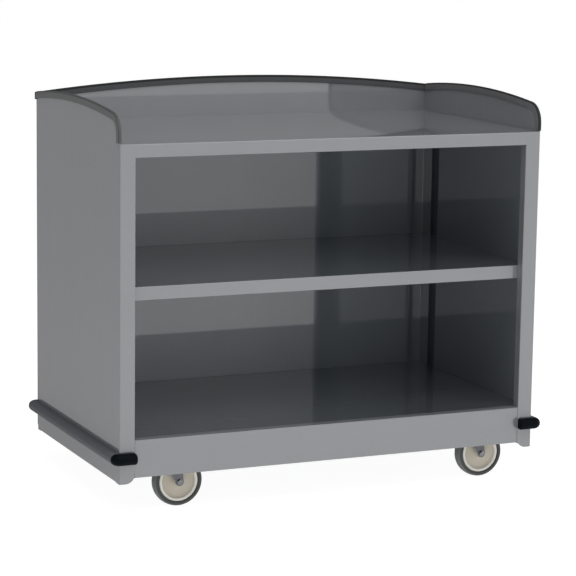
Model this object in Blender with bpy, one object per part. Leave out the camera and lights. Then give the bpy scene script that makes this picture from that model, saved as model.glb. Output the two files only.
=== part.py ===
"""Hydration cart: a stainless steel serving cart with an open two-compartment cabinet.

The cabinet is folded from sheet. Each side panel is one sheet whose front edge is folded into a
stile and whose top runs up into a curved gallery. A worktop, a middle shelf and a deck hang
between the side panels, and a back panel with an arched top closes the rear. Dark trim is pushed
on the gallery edges, a bumper runs along both ends, and the cart rolls on four swivel casters.

Metres, +Z up. The front looks along -Y, and the origin is on the floor under the middle.
"""
import math

import bmesh
import bpy
from mathutils import Matrix, Vector

# Driving dimensions
CABINET_WIDTH = 1.1360
CABINET_DEPTH = 0.6395
FOOT_HEIGHT = 0.0911
SKIRT_HEIGHT = 0.1040
DECK_HEIGHT = 0.1975
SHELF_HEIGHT = 0.5681
WORKTOP_HEIGHT = 0.9143

# Sheet and seats
SHEET = 0.0012
BEND_RADIUS = 0.0028
GAP = 0.0003
OVERRUN = 0.0050

# Stiles, returns and panel edges
STILE_WIDTH = 0.0400
STILE_RETURN = 0.0257
SIDE_HEM = 0.0150
HEM_RADIUS = 0.0016
HEM_LENGTH = 0.0100

# Trays: worktop, shelf and deck
WORKTOP_FRONT = 0.0336
SHELF_FRONT = 0.0349
SKIRT_RECESS = 0.0020
TRAY_RETURN = 0.0150
TRAY_FLANGE = 0.0250

# Galleries, to the outside of their trim
SIDE_GALLERY_RISE = 0.0906
SIDE_ARC_RADIUS = 2.5920
SIDE_ARC_REAR_SHIFT = 0.0299
GALLERY_CORNER_RADIUS = 0.0522
BACK_OVER_SIDE_RISE = 0.0163
BACK_ARCH_RISE = 0.0337

# Push-on edge trim
TRIM_WIDTH = 0.0082
TRIM_DEPTH = 0.0190
TRIM_CROWN = 0.0024
TRIM_LIFT = 0.0020

# Braces and brackets
BRACE_WIDTH = 0.0500
BRACE_DEPTH = 0.0220
BRACE_LIP = 0.0120
BRACE_PLACE_SHARE = 0.25
BRACKET_SHEET = 0.0015
BRACKET_SHELF_LEG = 0.0200
BRACKET_WALL_LEG = 0.0250

# Underframe
CHANNEL_WIDTH = 0.1100
CHANNEL_LIP = 0.0150
CHANNEL_SHEET = 0.0020
RAIL_WIDTH = 0.0600

# Bumper
BUMPER_HEIGHT = 0.0314
BUMPER_DEPTH = 0.0232
BUMPER_CENTRE_HEIGHT = 0.1528
BUMPER_CHANNEL_DEPTH = 0.0076
BUMPER_CHANNEL_WALL = 0.0015
BUMPER_CHANNEL_LIP = 0.0017
BUMPER_RAIL_WALL = 0.0033
BUMPER_TONGUE = 0.0028
SPIGOT_LENGTH = 0.0120

# Casters
CASTER_END_INSET = 0.1438
CASTER_FRONT_INSET = 0.0996
CASTER_HEIGHT = 0.1560
CASTER_TRAIL = 0.0429
WHEEL_RADIUS = 0.0635
TYRE_WIDTH = 0.0330
TYRE_SHOULDER = 0.0075
HUB_RADIUS = 0.0521
HUB_RIM_WIDTH = 0.0290
HUB_RIM_BEAD = 0.0065
HUB_RECESS = 0.0030
HUB_BOSS_RADIUS = 0.0130
HUB_BOSS_WIDTH = 0.0360
AXLE_RADIUS = 0.0048
AXLE_HEAD_RADIUS = 0.0080
AXLE_HEAD_HEIGHT = 0.0055
AXLE_END = 0.0030
SLEEVE_WALL = 0.0012
FORK_SHEET = 0.0025
FORK_BEND_RADIUS = 0.0050
FORK_SIDE_CLEARANCE = 0.0010
FORK_END_RADIUS = 0.0110
YOKE_REAR = 0.0270
YOKE_FRONT = 0.0330
LEG_REAR_FLARE = 0.0190
LEG_FRONT_FLARE = 0.0040
PLATE_LENGTH = 0.0953
PLATE_WIDTH = 0.0667
PLATE_SHEET = 0.0025
PLATE_CORNER = 0.0060
PLATE_HOLE_SPACING_LONG = 0.0730
PLATE_HOLE_SPACING_SHORT = 0.0445
PLATE_HOLE_RADIUS = 0.0042
RACE_OUTER_RADIUS = 0.0260
RACE_INNER_RADIUS = 0.0150
RACE_DEPTH = 0.0040
BEARING_OUTER_RADIUS = 0.0235
BEARING_INNER_RADIUS = 0.0130
BEARING_HEIGHT = 0.0050
BEARING_CROWN = 0.0012
KINGPIN_RADIUS = 0.0050
KINGPIN_COLLAR_RADIUS = 0.0095
KINGPIN_COLLAR_HEIGHT = 0.0030
KINGPIN_NUT_RADIUS = 0.0092
KINGPIN_NUT_HEIGHT = 0.0065

# How many straight steps a round stretch takes
BEND_STEPS = 3
HEM_STEPS = 4
LEG_STEPS = 5
CORNER_STEPS = 7
SIDE_ARC_STEPS = 14
BACK_ARC_STEPS = 22
FOOT_STEPS = 4
LEG_END_ANGLE = 80
CROWN_STEPS = 4
BUMPER_ARC_STEPS = 8
BUMPER_TURN_STEPS = 6
WHEEL_STEPS = 28
SHOULDER_STEPS = 2
SMALL_ROUND_STEPS = 12
HEXAGON = 6

# Colour, roughness and metallic value of each finish
STEEL = ((0.31, 0.315, 0.325, 1.0), 0.30, 1.0)
STEEL_HIDDEN = ((0.27, 0.275, 0.285, 1.0), 0.45, 1.0)
TRIM_RUBBER = ((0.060, 0.062, 0.066, 1.0), 0.50, 0.0)
BUMPER_GREY = ((0.066, 0.071, 0.080, 1.0), 0.55, 0.0)
BUMPER_BLACK = ((0.008, 0.010, 0.012, 1.0), 0.45, 0.0)
TYRE_GREY = ((0.110, 0.120, 0.118, 1.0), 0.70, 0.0)
HUB_CREAM = ((0.420, 0.390, 0.330, 1.0), 0.45, 0.0)
ZINC = ((0.420, 0.420, 0.440, 1.0), 0.35, 1.0)

# Places that several pieces share
HALF_WIDTH = CABINET_WIDTH / 2
HALF_DEPTH = CABINET_DEPTH / 2
STILE_EDGE = HALF_WIDTH - STILE_WIDTH
INSIDE_SIDE = HALF_WIDTH - SHEET - GAP
INSIDE_BACK = HALF_DEPTH - SHEET - GAP
INSIDE_REAR_FLANGE = INSIDE_BACK - SHEET - GAP
BEHIND_RETURN = -HALF_DEPTH + STILE_RETURN + GAP
FOLD_TOP = WORKTOP_HEIGHT - SHEET - GAP
FOOT_RADIUS = SKIRT_HEIGHT - FOOT_HEIGHT
CORNER_CHAMFER = BEND_RADIUS - SHEET - GAP
SIDE_ARC_PEAK = WORKTOP_HEIGHT + SIDE_GALLERY_RISE
BACK_ARC_PEAK = SIDE_ARC_PEAK + BACK_OVER_SIDE_RISE
BACK_ARC_RADIUS = (HALF_WIDTH ** 2 + BACK_ARCH_RISE ** 2) / (2 * BACK_ARCH_RISE)
TRIM_MIDDLE_BACK = HALF_DEPTH - SHEET / 2
BACK_TRIM_FRONT = TRIM_MIDDLE_BACK - TRIM_WIDTH / 2
SIDE_TRIM_END = BACK_TRIM_FRONT - GAP
CASTER_X = HALF_WIDTH - CASTER_END_INSET
CASTER_Y = HALF_DEPTH - CASTER_FRONT_INSET
LEG_INSIDE = HUB_BOSS_WIDTH / 2 + FORK_SIDE_CLEARANCE
LEG_OUTSIDE = LEG_INSIDE + FORK_SHEET
PLATE_BOTTOM = CASTER_HEIGHT - PLATE_SHEET
RACE_BOTTOM = PLATE_BOTTOM - RACE_DEPTH
BEARING_TOP = RACE_BOTTOM - GAP
FORK_TOP = BEARING_TOP - BEARING_HEIGHT - GAP


# Scene, finishes and objects

def clear_scene():
    for thing in list(bpy.data.objects):
        bpy.data.objects.remove(thing, do_unlink=True)


def finish_material(name, finish):
    colour, roughness, metallic = finish
    material = bpy.data.materials.new(name + "_finish")
    material.use_nodes = True
    shader = material.node_tree.nodes["Principled BSDF"]
    shader.inputs["Base Color"].default_value = colour
    shader.inputs["Roughness"].default_value = roughness
    shader.inputs["Metallic"].default_value = metallic
    material.diffuse_color = colour
    return material


def place_object(name, mesh, finish):
    part = bpy.data.objects.new(name, mesh)
    bpy.context.scene.collection.objects.link(part)
    if finish is not None:
        mesh.materials.clear()
        mesh.materials.append(finish_material(name, finish))
    return part


def object_from(name, work, finish, smooth_angle=40):
    """Turn a bmesh into a named object whose flat faces stay flat and round faces shade smooth."""
    mesh = bpy.data.meshes.new(name)
    work.to_mesh(mesh)
    work.free()
    mesh.shade_smooth()
    mesh.set_sharp_from_angle(angle=math.radians(smooth_angle))
    return place_object(name, mesh, finish)


def finished_mesh(part):
    """The mesh of a part with its modifiers worked in; the part itself is taken away."""
    evaluated = part.evaluated_get(bpy.context.evaluated_depsgraph_get())
    mesh = bpy.data.meshes.new_from_object(evaluated)
    helpers = [modifier.object for modifier in part.modifiers if modifier.type == "BOOLEAN"]
    for thing in [part] + helpers:
        bpy.data.objects.remove(thing, do_unlink=True)
    return mesh


def boolean(part, tool, operation):
    tool.hide_render = True
    tool.display_type = "WIRE"
    modifier = part.modifiers.new(tool.name, "BOOLEAN")
    modifier.operation = operation
    modifier.object = tool


# Outlines

def arc_points(centre, radius, start, end, steps):
    """Points on an arc from start to end degrees, both ends included."""
    points = []
    for step in range(steps + 1):
        angle = math.radians(start + (end - start) * step / steps)
        points.append((centre[0] + radius * math.cos(angle), centre[1] + radius * math.sin(angle)))
    return points


def rounded_rectangle(length, width, corner, steps):
    points = []
    x = length / 2 - corner
    y = width / 2 - corner
    for turn, centre in enumerate(((x, y), (-x, y), (-x, -y), (x, -y))):
        points += arc_points(centre, corner, 90 * turn, 90 * (turn + 1), steps)
    return points


def mirrored_outline(right_half):
    """A closed outline from its right half, which runs anticlockwise from front to rear."""
    return right_half + [(-x, y) for x, y in reversed(right_half)]


# Solids

PLANE_AXES = {"X": (1, 2, 0), "Y": (0, 2, 1), "Z": (0, 1, 2)}


def prism(name, outline, axis, start, end, finish):
    """Extrude an outline along X, Y or Z. The outline's pairs are the two other coordinates."""
    first, second, along = PLANE_AXES[axis]
    work = bmesh.new()
    corners = []
    for a, b in outline:
        place = [0.0, 0.0, 0.0]
        place[first] = a
        place[second] = b
        place[along] = start
        corners.append(work.verts.new(place))
    face = work.faces.new(corners)
    grown = bmesh.ops.extrude_face_region(work, geom=[face])
    moved = [item for item in grown["geom"] if isinstance(item, bmesh.types.BMVert)]
    shift = Vector((0.0, 0.0, 0.0))
    shift[along] = end - start
    bmesh.ops.translate(work, verts=moved, vec=shift)
    bmesh.ops.recalc_face_normals(work, faces=work.faces)
    return object_from(name, work, finish)


def turned(name, profile, axis, steps, finish, ring=False):
    """Turn a profile of (radius, height) pairs about an axis through the origin.

    A ring's profile is a closed loop. Any other profile is open, and its two ends are capped.
    """
    along = Vector((0.0, 0.0, 0.0))
    along["XYZ".index(axis)] = 1.0
    side = Vector((1.0, 0.0, 0.0))
    work = bmesh.new()
    points = [work.verts.new(side * radius + along * height) for radius, height in profile]
    links = list(zip(points, points[1:]))
    if ring:
        links.append((points[-1], points[0]))
    edges = [work.edges.new(link) for link in links]
    bmesh.ops.spin(work, geom=points + edges, cent=(0.0, 0.0, 0.0), axis=along, dvec=(0.0, 0.0, 0.0),
                   angle=2 * math.pi, steps=steps, use_merge=True, use_duplicate=False)
    if not ring:
        bmesh.ops.holes_fill(work, edges=[edge for edge in work.edges if edge.is_boundary], sides=0)
    bmesh.ops.recalc_face_normals(work, faces=work.faces)
    return object_from(name, work, finish)


def swept(name, rings, finish):
    """Join rings of points, each with as many points as the next, into one capped solid."""
    work = bmesh.new()
    made = {}

    def corner(point):
        key = tuple(round(value, 7) for value in point)
        if key not in made:
            made[key] = work.verts.new(point)
        return made[key]

    def face(points):
        corners = list(dict.fromkeys(corner(point) for point in points))
        if len(corners) > 2:
            work.faces.new(corners)

    for ring, following in zip(rings, rings[1:]):
        for index in range(len(ring)):
            after = (index + 1) % len(ring)
            face((ring[index], ring[after], following[after], following[index]))
    face(rings[0])
    face(rings[-1])
    bmesh.ops.recalc_face_normals(work, faces=work.faces)
    return object_from(name, work, finish)


def bend(degrees, first_inset=0.0, second_inset=0.0, radius=BEND_RADIUS, steps=BEND_STEPS):
    """One step of a flange: a bend away from the outer face."""
    return degrees, radius, steps, first_inset, second_inset


def flat(length, first_inset=0.0, second_inset=0.0):
    """One step of a flange: a flat stretch."""
    return 0.0, length, 1, first_inset, second_inset


class FoldedSheet:
    """One folded sheet: a flat blank, and flanges that fold away from its outer face.

    The mesh holds the outer skin alone, and Solidify gives it the sheet's thickness inwards.
    """

    def __init__(self, origin, across, along):
        self.origin = Vector(origin)
        self.across = Vector(across)
        self.along = Vector(along)
        self.outside = self.across.cross(self.along)
        self.work = bmesh.new()

    def blank(self, outline):
        """Lay the blank, anticlockwise as seen from outside, and return its corners."""
        corners = []
        for a, b in outline:
            corners.append(self.work.verts.new(self.origin + self.across * a + self.along * b))
        self.work.faces.new(corners)
        return corners

    def flange(self, first, second, steps):
        """Fold a flange on the blank's edge from first to second.

        Every bend and flat states how far the flange is drawn in at the edge's two ends.
        """
        edge = (second.co - first.co).normalized()
        heading = edge.cross(self.outside)
        normal = self.outside.copy()
        offset = Vector((0.0, 0.0, 0.0))
        starts = first.co.copy()
        ends = second.co.copy()
        row = (first, second)
        for degrees, size, count, first_inset, second_inset in steps:
            turn = math.radians(degrees)
            places = []
            if degrees:
                centre = offset - normal * size
                for step in range(1, count + 1):
                    angle = turn * step / count
                    places.append(centre + (normal * math.cos(angle) + heading * math.sin(angle)) * size)
            else:
                places.append(offset + heading * size)
            normal, heading = (normal * math.cos(turn) + heading * math.sin(turn),
                               heading * math.cos(turn) - normal * math.sin(turn))
            for place in places:
                offset = place
                following = (self.work.verts.new(starts + edge * first_inset + offset),
                             self.work.verts.new(ends - edge * second_inset + offset))
                self.work.faces.new((row[1], row[0], following[0], following[1]))
                row = following

    def mirror(self):
        """Turn a right-hand sheet into the left-hand one."""
        bmesh.ops.scale(self.work, vec=(-1.0, 1.0, 1.0), verts=self.work.verts)
        bmesh.ops.reverse_faces(self.work, faces=self.work.faces)

    def solid(self, name, finish, thickness=SHEET):
        part = object_from(name, self.work, finish)
        modifier = part.modifiers.new("thickness", "SOLIDIFY")
        modifier.thickness = thickness
        modifier.offset = -1.0
        modifier.use_even_offset = True
        return part


def hem_steps():
    """An edge folded flat onto its own inner face."""
    return [bend(180, radius=HEM_RADIUS, steps=HEM_STEPS), flat(HEM_LENGTH)]


def foot_steps(bottom_first):
    """The flat steps of a quarter-round foot, drawn in at the flange's lower end."""
    steps = []
    for index in range(FOOT_STEPS):
        angle = math.radians(90 * (index + 1) / FOOT_STEPS)
        before = math.radians(90 * index / FOOT_STEPS)
        length = FOOT_RADIUS * (math.sin(angle) - math.sin(before))
        inset = FOOT_RADIUS * (1 - math.cos(angle))
        if bottom_first:
            steps.append(flat(length, inset, 0.0))
        else:
            steps.append(flat(length, 0.0, inset))
    return steps


def hat_section(width, depth, lip, sheet, top):
    """A hat channel's outline, open upwards, with its lips' upper faces at the given height."""
    half = width / 2
    web = top - depth
    right = [(half, web), (half, top - sheet), (half + lip, top - sheet), (half + lip, top),
             (half - sheet, top), (half - sheet, web + sheet)]
    return right + [(-x, z) for x, z in reversed(right)]


# Cabinet sheets

def side_gallery_edge(lower=0.0):
    """The side gallery's edge from rear to front as (y, z, outward y, outward z).

    It follows the long arc, the round front corner and the upright front edge. With lower set,
    the whole line runs that far inside the trim's outer face.
    """
    front = -HALF_DEPTH + GAP
    corner_y = front + GALLERY_CORNER_RADIUS
    middle_z = SIDE_ARC_PEAK - SIDE_ARC_RADIUS
    reach = SIDE_ARC_RADIUS - GALLERY_CORNER_RADIUS
    corner_z = middle_z + math.sqrt(reach ** 2 - (corner_y - SIDE_ARC_REAR_SHIFT) ** 2)
    meet = math.atan2(corner_z - middle_z, corner_y - SIDE_ARC_REAR_SHIFT)
    rear = math.acos((SIDE_TRIM_END - SIDE_ARC_REAR_SHIFT) / (SIDE_ARC_RADIUS - lower))
    line = []
    for step in range(SIDE_ARC_STEPS):
        angle = rear + (meet - rear) * step / SIDE_ARC_STEPS
        out = (math.cos(angle), math.sin(angle))
        radius = SIDE_ARC_RADIUS - lower
        line.append((SIDE_ARC_REAR_SHIFT + radius * out[0], middle_z + radius * out[1], *out))
    for step in range(CORNER_STEPS + 1):
        angle = meet + (math.pi - meet) * step / CORNER_STEPS
        out = (math.cos(angle), math.sin(angle))
        radius = GALLERY_CORNER_RADIUS - lower
        line.append((corner_y + radius * out[0], corner_z + radius * out[1], *out))
    return line


def back_arc_height(x, lower=0.0):
    """Height of the back gallery's arch, or of a line straight below it."""
    return BACK_ARC_PEAK - BACK_ARC_RADIUS + math.sqrt(BACK_ARC_RADIUS ** 2 - x ** 2) - lower


def side_panel(name, left):
    """Side sheet with its stile and return, its rear flange, its lower hem and its gallery."""
    front = -HALF_DEPTH + BEND_RADIUS
    rear = INSIDE_BACK - BEND_RADIUS
    hem_front = -HALF_DEPTH + STILE_RETURN
    hem_rear = INSIDE_BACK - STILE_RETURN
    hem_height = FOOT_HEIGHT + BEND_RADIUS
    notch = back_arc_height(HALF_WIDTH, TRIM_DEPTH + GAP)
    edge = [(y, z) for y, z, _, _ in side_gallery_edge(TRIM_CROWN)]
    outline = [(front, FOOT_HEIGHT), (hem_front, FOOT_HEIGHT), (hem_front, hem_height),
               (hem_rear, hem_height), (hem_rear, FOOT_HEIGHT), (rear, FOOT_HEIGHT),
               (rear, FOLD_TOP), (INSIDE_BACK, FOLD_TOP), (INSIDE_BACK, notch),
               (SIDE_TRIM_END, notch)] + edge + [(front, WORKTOP_HEIGHT)]
    sheet = FoldedSheet((HALF_WIDTH, 0.0, 0.0), (0.0, 1.0, 0.0), (0.0, 0.0, 1.0))
    corner = sheet.blank(outline)
    width = STILE_WIDTH - BEND_RADIUS - FOOT_RADIUS
    stile = [bend(90), flat(width - BEND_RADIUS)]
    stile += foot_steps(bottom_first=False)
    stile += [bend(90, SHEET + GAP, FOOT_RADIUS),
              flat(STILE_RETURN - BEND_RADIUS, SHEET + GAP, FOOT_RADIUS)]
    sheet.flange(corner[-1], corner[0], stile)
    rear_flange = [bend(90), flat(width)]
    rear_flange += foot_steps(bottom_first=True)
    sheet.flange(corner[5], corner[6], rear_flange)
    sheet.flange(corner[2], corner[3], [bend(90), flat(SIDE_HEM - BEND_RADIUS)])
    if left:
        sheet.mirror()
    return sheet.solid(name, STEEL)


def back_panel():
    """Back sheet with its arched top and the hem folded in along its lower edge."""
    hem = STILE_EDGE - GAP
    arch = []
    for step in range(BACK_ARC_STEPS + 1):
        x = HALF_WIDTH - CABINET_WIDTH * step / BACK_ARC_STEPS
        arch.append((x, back_arc_height(x, TRIM_CROWN)))
    outline = [(-HALF_WIDTH, SKIRT_HEIGHT), (-hem, SKIRT_HEIGHT), (-hem, SKIRT_HEIGHT + HEM_RADIUS),
               (hem, SKIRT_HEIGHT + HEM_RADIUS), (hem, SKIRT_HEIGHT), (HALF_WIDTH, SKIRT_HEIGHT)]
    sheet = FoldedSheet((0.0, HALF_DEPTH, 0.0), (-1.0, 0.0, 0.0), (0.0, 0.0, 1.0))
    corner = sheet.blank(outline + arch)
    sheet.flange(corner[2], corner[3], hem_steps())
    return sheet.solid("back_panel", STEEL)


def tray(name, height, front, front_outline, drop, side_flanges, rear_limit):
    """A flat tray between the side panels, with its front edge folded down.

    front_outline is the right half of the front edge outside the drop, front to rear.
    """
    drop_end = front_outline[0][0]
    rear = STILE_EDGE - GAP
    root = INSIDE_SIDE - BEND_RADIUS
    flange_front = BEHIND_RETURN + BEND_RADIUS
    flange_rear = INSIDE_REAR_FLANGE - BEND_RADIUS
    right = [(drop_end, front + BEND_RADIUS)] + front_outline[1:]
    if side_flanges:
        right += [(INSIDE_SIDE, flange_front), (root, flange_front), (root, flange_rear),
                  (INSIDE_SIDE, flange_rear)]
    if rear_limit < INSIDE_BACK:
        right += [(INSIDE_SIDE, rear_limit - CORNER_CHAMFER), (INSIDE_SIDE - CORNER_CHAMFER, rear_limit)]
    else:
        right += [(INSIDE_SIDE, rear_limit)]
    right += [(rear, rear_limit), (rear, INSIDE_BACK - BEND_RADIUS)]
    right = list(dict.fromkeys(right))
    outline = mirrored_outline(right)
    sheet = FoldedSheet((0.0, 0.0, height), (1.0, 0.0, 0.0), (0.0, 1.0, 0.0))
    corner = sheet.blank(outline)
    sheet.flange(corner[-1], corner[0], drop)
    down = [bend(90), flat(TRAY_FLANGE - BEND_RADIUS)]
    sheet.flange(corner[len(right) - 1], corner[len(right)], down)
    if side_flanges:
        start = right.index((root, flange_front))
        sheet.flange(corner[start], corner[start + 1], down)
        last = len(outline) - 1
        sheet.flange(corner[last - start - 1], corner[last - start], down)
    return sheet.solid(name, STEEL)


def returned_drop(height):
    """A front edge folded down and then back under the tray."""
    return [bend(90), flat(height - 2 * BEND_RADIUS), bend(90), flat(TRAY_RETURN - BEND_RADIUS)]


def worktop():
    """Its front edge is flush with the stiles, and its ears lie on top of their returns."""
    ear_front = -HALF_DEPTH + SHEET + GAP
    drop_end = STILE_EDGE - GAP
    edge = [(drop_end, ear_front), (drop_end, ear_front), (INSIDE_SIDE - CORNER_CHAMFER, ear_front),
            (INSIDE_SIDE, ear_front + CORNER_CHAMFER)]
    return tray("worktop", WORKTOP_HEIGHT, -HALF_DEPTH, edge, returned_drop(WORKTOP_FRONT), True,
                INSIDE_BACK)


def middle_shelf():
    """It lies behind the stiles' returns and rests on a bracket at each end."""
    edge = [(INSIDE_SIDE, BEHIND_RETURN)]
    return tray("middle_shelf", SHELF_HEIGHT, BEHIND_RETURN, edge, returned_drop(SHELF_FRONT), False,
                INSIDE_REAR_FLANGE)


def deck():
    """The lowest tray, whose deep front drop is the skirt between the stiles.

    The skirt ends in a flat hem, which leaves the front casters room to swing.
    """
    drop_end = STILE_EDGE - GAP
    edge = [(drop_end, BEHIND_RETURN), (drop_end, BEHIND_RETURN), (INSIDE_SIDE, BEHIND_RETURN)]
    skirt = [bend(90), flat(DECK_HEIGHT - SKIRT_HEIGHT - BEND_RADIUS - HEM_RADIUS)] + hem_steps()
    return tray("deck", DECK_HEIGHT, -HALF_DEPTH + SKIRT_RECESS, edge, skirt, True, INSIDE_REAR_FLANGE)


# Braces, brackets and underframe

def worktop_braces():
    """Hat channels under the worktop, from one side flange to the other."""
    reach = INSIDE_SIDE - BEND_RADIUS - GAP
    section = hat_section(BRACE_WIDTH, BRACE_DEPTH, BRACE_LIP, SHEET, FOLD_TOP)
    for name, side in (("worktop_brace_front", -1), ("worktop_brace_rear", 1)):
        middle = side * BRACE_PLACE_SHARE * CABINET_DEPTH
        outline = [(middle + y, z) for y, z in section]
        prism(name, outline, "X", -reach, reach, STEEL_HIDDEN)


def shelf_supports():
    """An angle at each end of the middle shelf, and a hat channel under its middle."""
    top = SHELF_HEIGHT - SHEET - GAP
    front = BEHIND_RETURN + BEND_RADIUS + GAP
    rear = INSIDE_REAR_FLANGE - BEND_RADIUS - GAP
    inner = INSIDE_SIDE - BRACKET_SHELF_LEG
    for name, side in (("shelf_bracket_left", -1), ("shelf_bracket_right", 1)):
        outline = [(INSIDE_SIDE, top), (inner, top), (inner, top - BRACKET_SHEET),
                   (INSIDE_SIDE - BRACKET_SHEET, top - BRACKET_SHEET),
                   (INSIDE_SIDE - BRACKET_SHEET, top - BRACKET_WALL_LEG),
                   (INSIDE_SIDE, top - BRACKET_WALL_LEG)]
        prism(name, [(side * x, z) for x, z in outline], "Y", front, rear, STEEL_HIDDEN)
    section = hat_section(BRACE_WIDTH, BRACE_DEPTH, BRACE_LIP, SHEET, top)
    reach = inner - GAP
    prism("shelf_brace", section, "X", -reach, reach, STEEL_HIDDEN)


def underframe():
    """Channels from front to rear that carry the casters, and rails between them."""
    top = DECK_HEIGHT - SHEET - GAP
    depth = top - CASTER_HEIGHT - GAP
    front = -HALF_DEPTH + SKIRT_RECESS + BEND_RADIUS + GAP
    rear = INSIDE_BACK - BEND_RADIUS - GAP
    section = hat_section(CHANNEL_WIDTH, depth, CHANNEL_LIP, CHANNEL_SHEET, top)
    for name, side in (("chassis_channel_left", -1), ("chassis_channel_right", 1)):
        outline = [(side * CASTER_X + x, z) for x, z in section]
        prism(name, outline, "Y", front, rear, STEEL_HIDDEN)
    reach = CASTER_X - CHANNEL_WIDTH / 2 - CHANNEL_LIP - GAP
    section = hat_section(RAIL_WIDTH, depth, CHANNEL_LIP, CHANNEL_SHEET, top)
    for name, side in (("chassis_rail_front", -1), ("chassis_rail_rear", 1)):
        outline = [(side * CASTER_Y + y, z) for y, z in section]
        prism(name, outline, "X", -reach, reach, STEEL_HIDDEN)


# Edge trim

def trim_section():
    """The trim's section as (sideways, depth below its outer face), all round its slot."""
    half = TRIM_WIDTH / 2
    slot = SHEET / 2 + GAP
    crown = [(half * math.cos(math.radians(180 * step / CROWN_STEPS)),
              half * (1 - math.sin(math.radians(180 * step / CROWN_STEPS))))
             for step in range(CROWN_STEPS + 1)]
    return crown + [(-half, TRIM_DEPTH), (-slot, TRIM_DEPTH), (-slot, TRIM_CROWN - GAP),
                    (slot, TRIM_CROWN - GAP), (slot, TRIM_DEPTH), (half, TRIM_DEPTH)]


def side_trim(name, side):
    """Trim over a side gallery, from the rear corner round the front corner to the worktop."""
    middle = side * (HALF_WIDTH - SHEET / 2)
    line = side_gallery_edge()
    first = line[0]
    line[0] = (first[0], first[1], 0.0, 1.0)
    last = line[-1]
    line.append((last[0], WORKTOP_HEIGHT + TRIM_LIFT, last[2], last[3]))
    rings = []
    for y, z, out_y, out_z in line:
        rings.append([(middle + sideways, y - out_y * depth, z - out_z * depth)
                      for sideways, depth in trim_section()])
    return swept(name, rings, TRIM_RUBBER)


def back_trim():
    """Trim over the back gallery's arch, past both side panels."""
    reach = HALF_WIDTH - SHEET / 2 + TRIM_WIDTH / 2
    rings = []
    for step in range(BACK_ARC_STEPS + 1):
        x = reach - 2 * reach * step / BACK_ARC_STEPS
        rings.append([(x, TRIM_MIDDLE_BACK + sideways, back_arc_height(x, depth))
                      for sideways, depth in trim_section()])
    return swept("edge_trim_back", rings, TRIM_RUBBER)


# Bumper

def crown_arc(radius, start_depth, steps):
    """The round part of a bumper section as (depth, height), from its top to its bottom."""
    centre = BUMPER_DEPTH - BUMPER_HEIGHT / 2
    angle = math.degrees(math.acos(min(1.0, max(-1.0, (start_depth - centre) / radius))))
    return arc_points((centre, 0.0), radius, angle, -angle, steps)


def bumper_channel(name, side):
    """The channel on a side panel, whose lips hold the bumper rail's tongues."""
    top = BUMPER_HEIGHT / 2 - GAP
    wall = BUMPER_CHANNEL_WALL
    lip_start = BUMPER_CHANNEL_DEPTH - wall
    lip_low = top - wall - BUMPER_CHANNEL_LIP
    half = [(GAP, top), (BUMPER_CHANNEL_DEPTH, top), (BUMPER_CHANNEL_DEPTH, lip_low), (lip_start, lip_low),
            (lip_start, top - wall), (GAP + wall, top - wall)]
    section = half + [(depth, -height) for depth, height in reversed(half)]
    outline = [(side * (HALF_WIDTH + depth), BUMPER_CENTRE_HEIGHT + height) for depth, height in section]
    return prism(name, outline, "Y", -HALF_DEPTH, HALF_DEPTH, BUMPER_BLACK)


def bumper_rail(name, side):
    """The half-round rail, open at its back, with a tongue along each edge."""
    start = BUMPER_CHANNEL_DEPTH + GAP
    inner = BUMPER_HEIGHT / 2 - BUMPER_RAIL_WALL
    tongue_top = BUMPER_HEIGHT / 2 - BUMPER_CHANNEL_WALL - BUMPER_CHANNEL_LIP - 2 * GAP
    tongue_low = tongue_top - BUMPER_TONGUE
    tongue_end = GAP + BUMPER_CHANNEL_WALL + GAP
    outer = crown_arc(BUMPER_HEIGHT / 2, start, BUMPER_ARC_STEPS)
    foot = [(start, -tongue_top), (tongue_end, -tongue_top), (tongue_end, -tongue_low)]
    centre = BUMPER_DEPTH - BUMPER_HEIGHT / 2
    hollow_start = centre + math.sqrt(inner ** 2 - tongue_low ** 2)
    hollow = list(reversed(crown_arc(inner, hollow_start, BUMPER_ARC_STEPS)))
    section = outer + foot + hollow + [(depth, -height) for depth, height in reversed(foot)]
    outline = [(side * (HALF_WIDTH + depth), BUMPER_CENTRE_HEIGHT + height) for depth, height in section]
    return prism(name, outline, "Y", -HALF_DEPTH, HALF_DEPTH, BUMPER_GREY)


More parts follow.
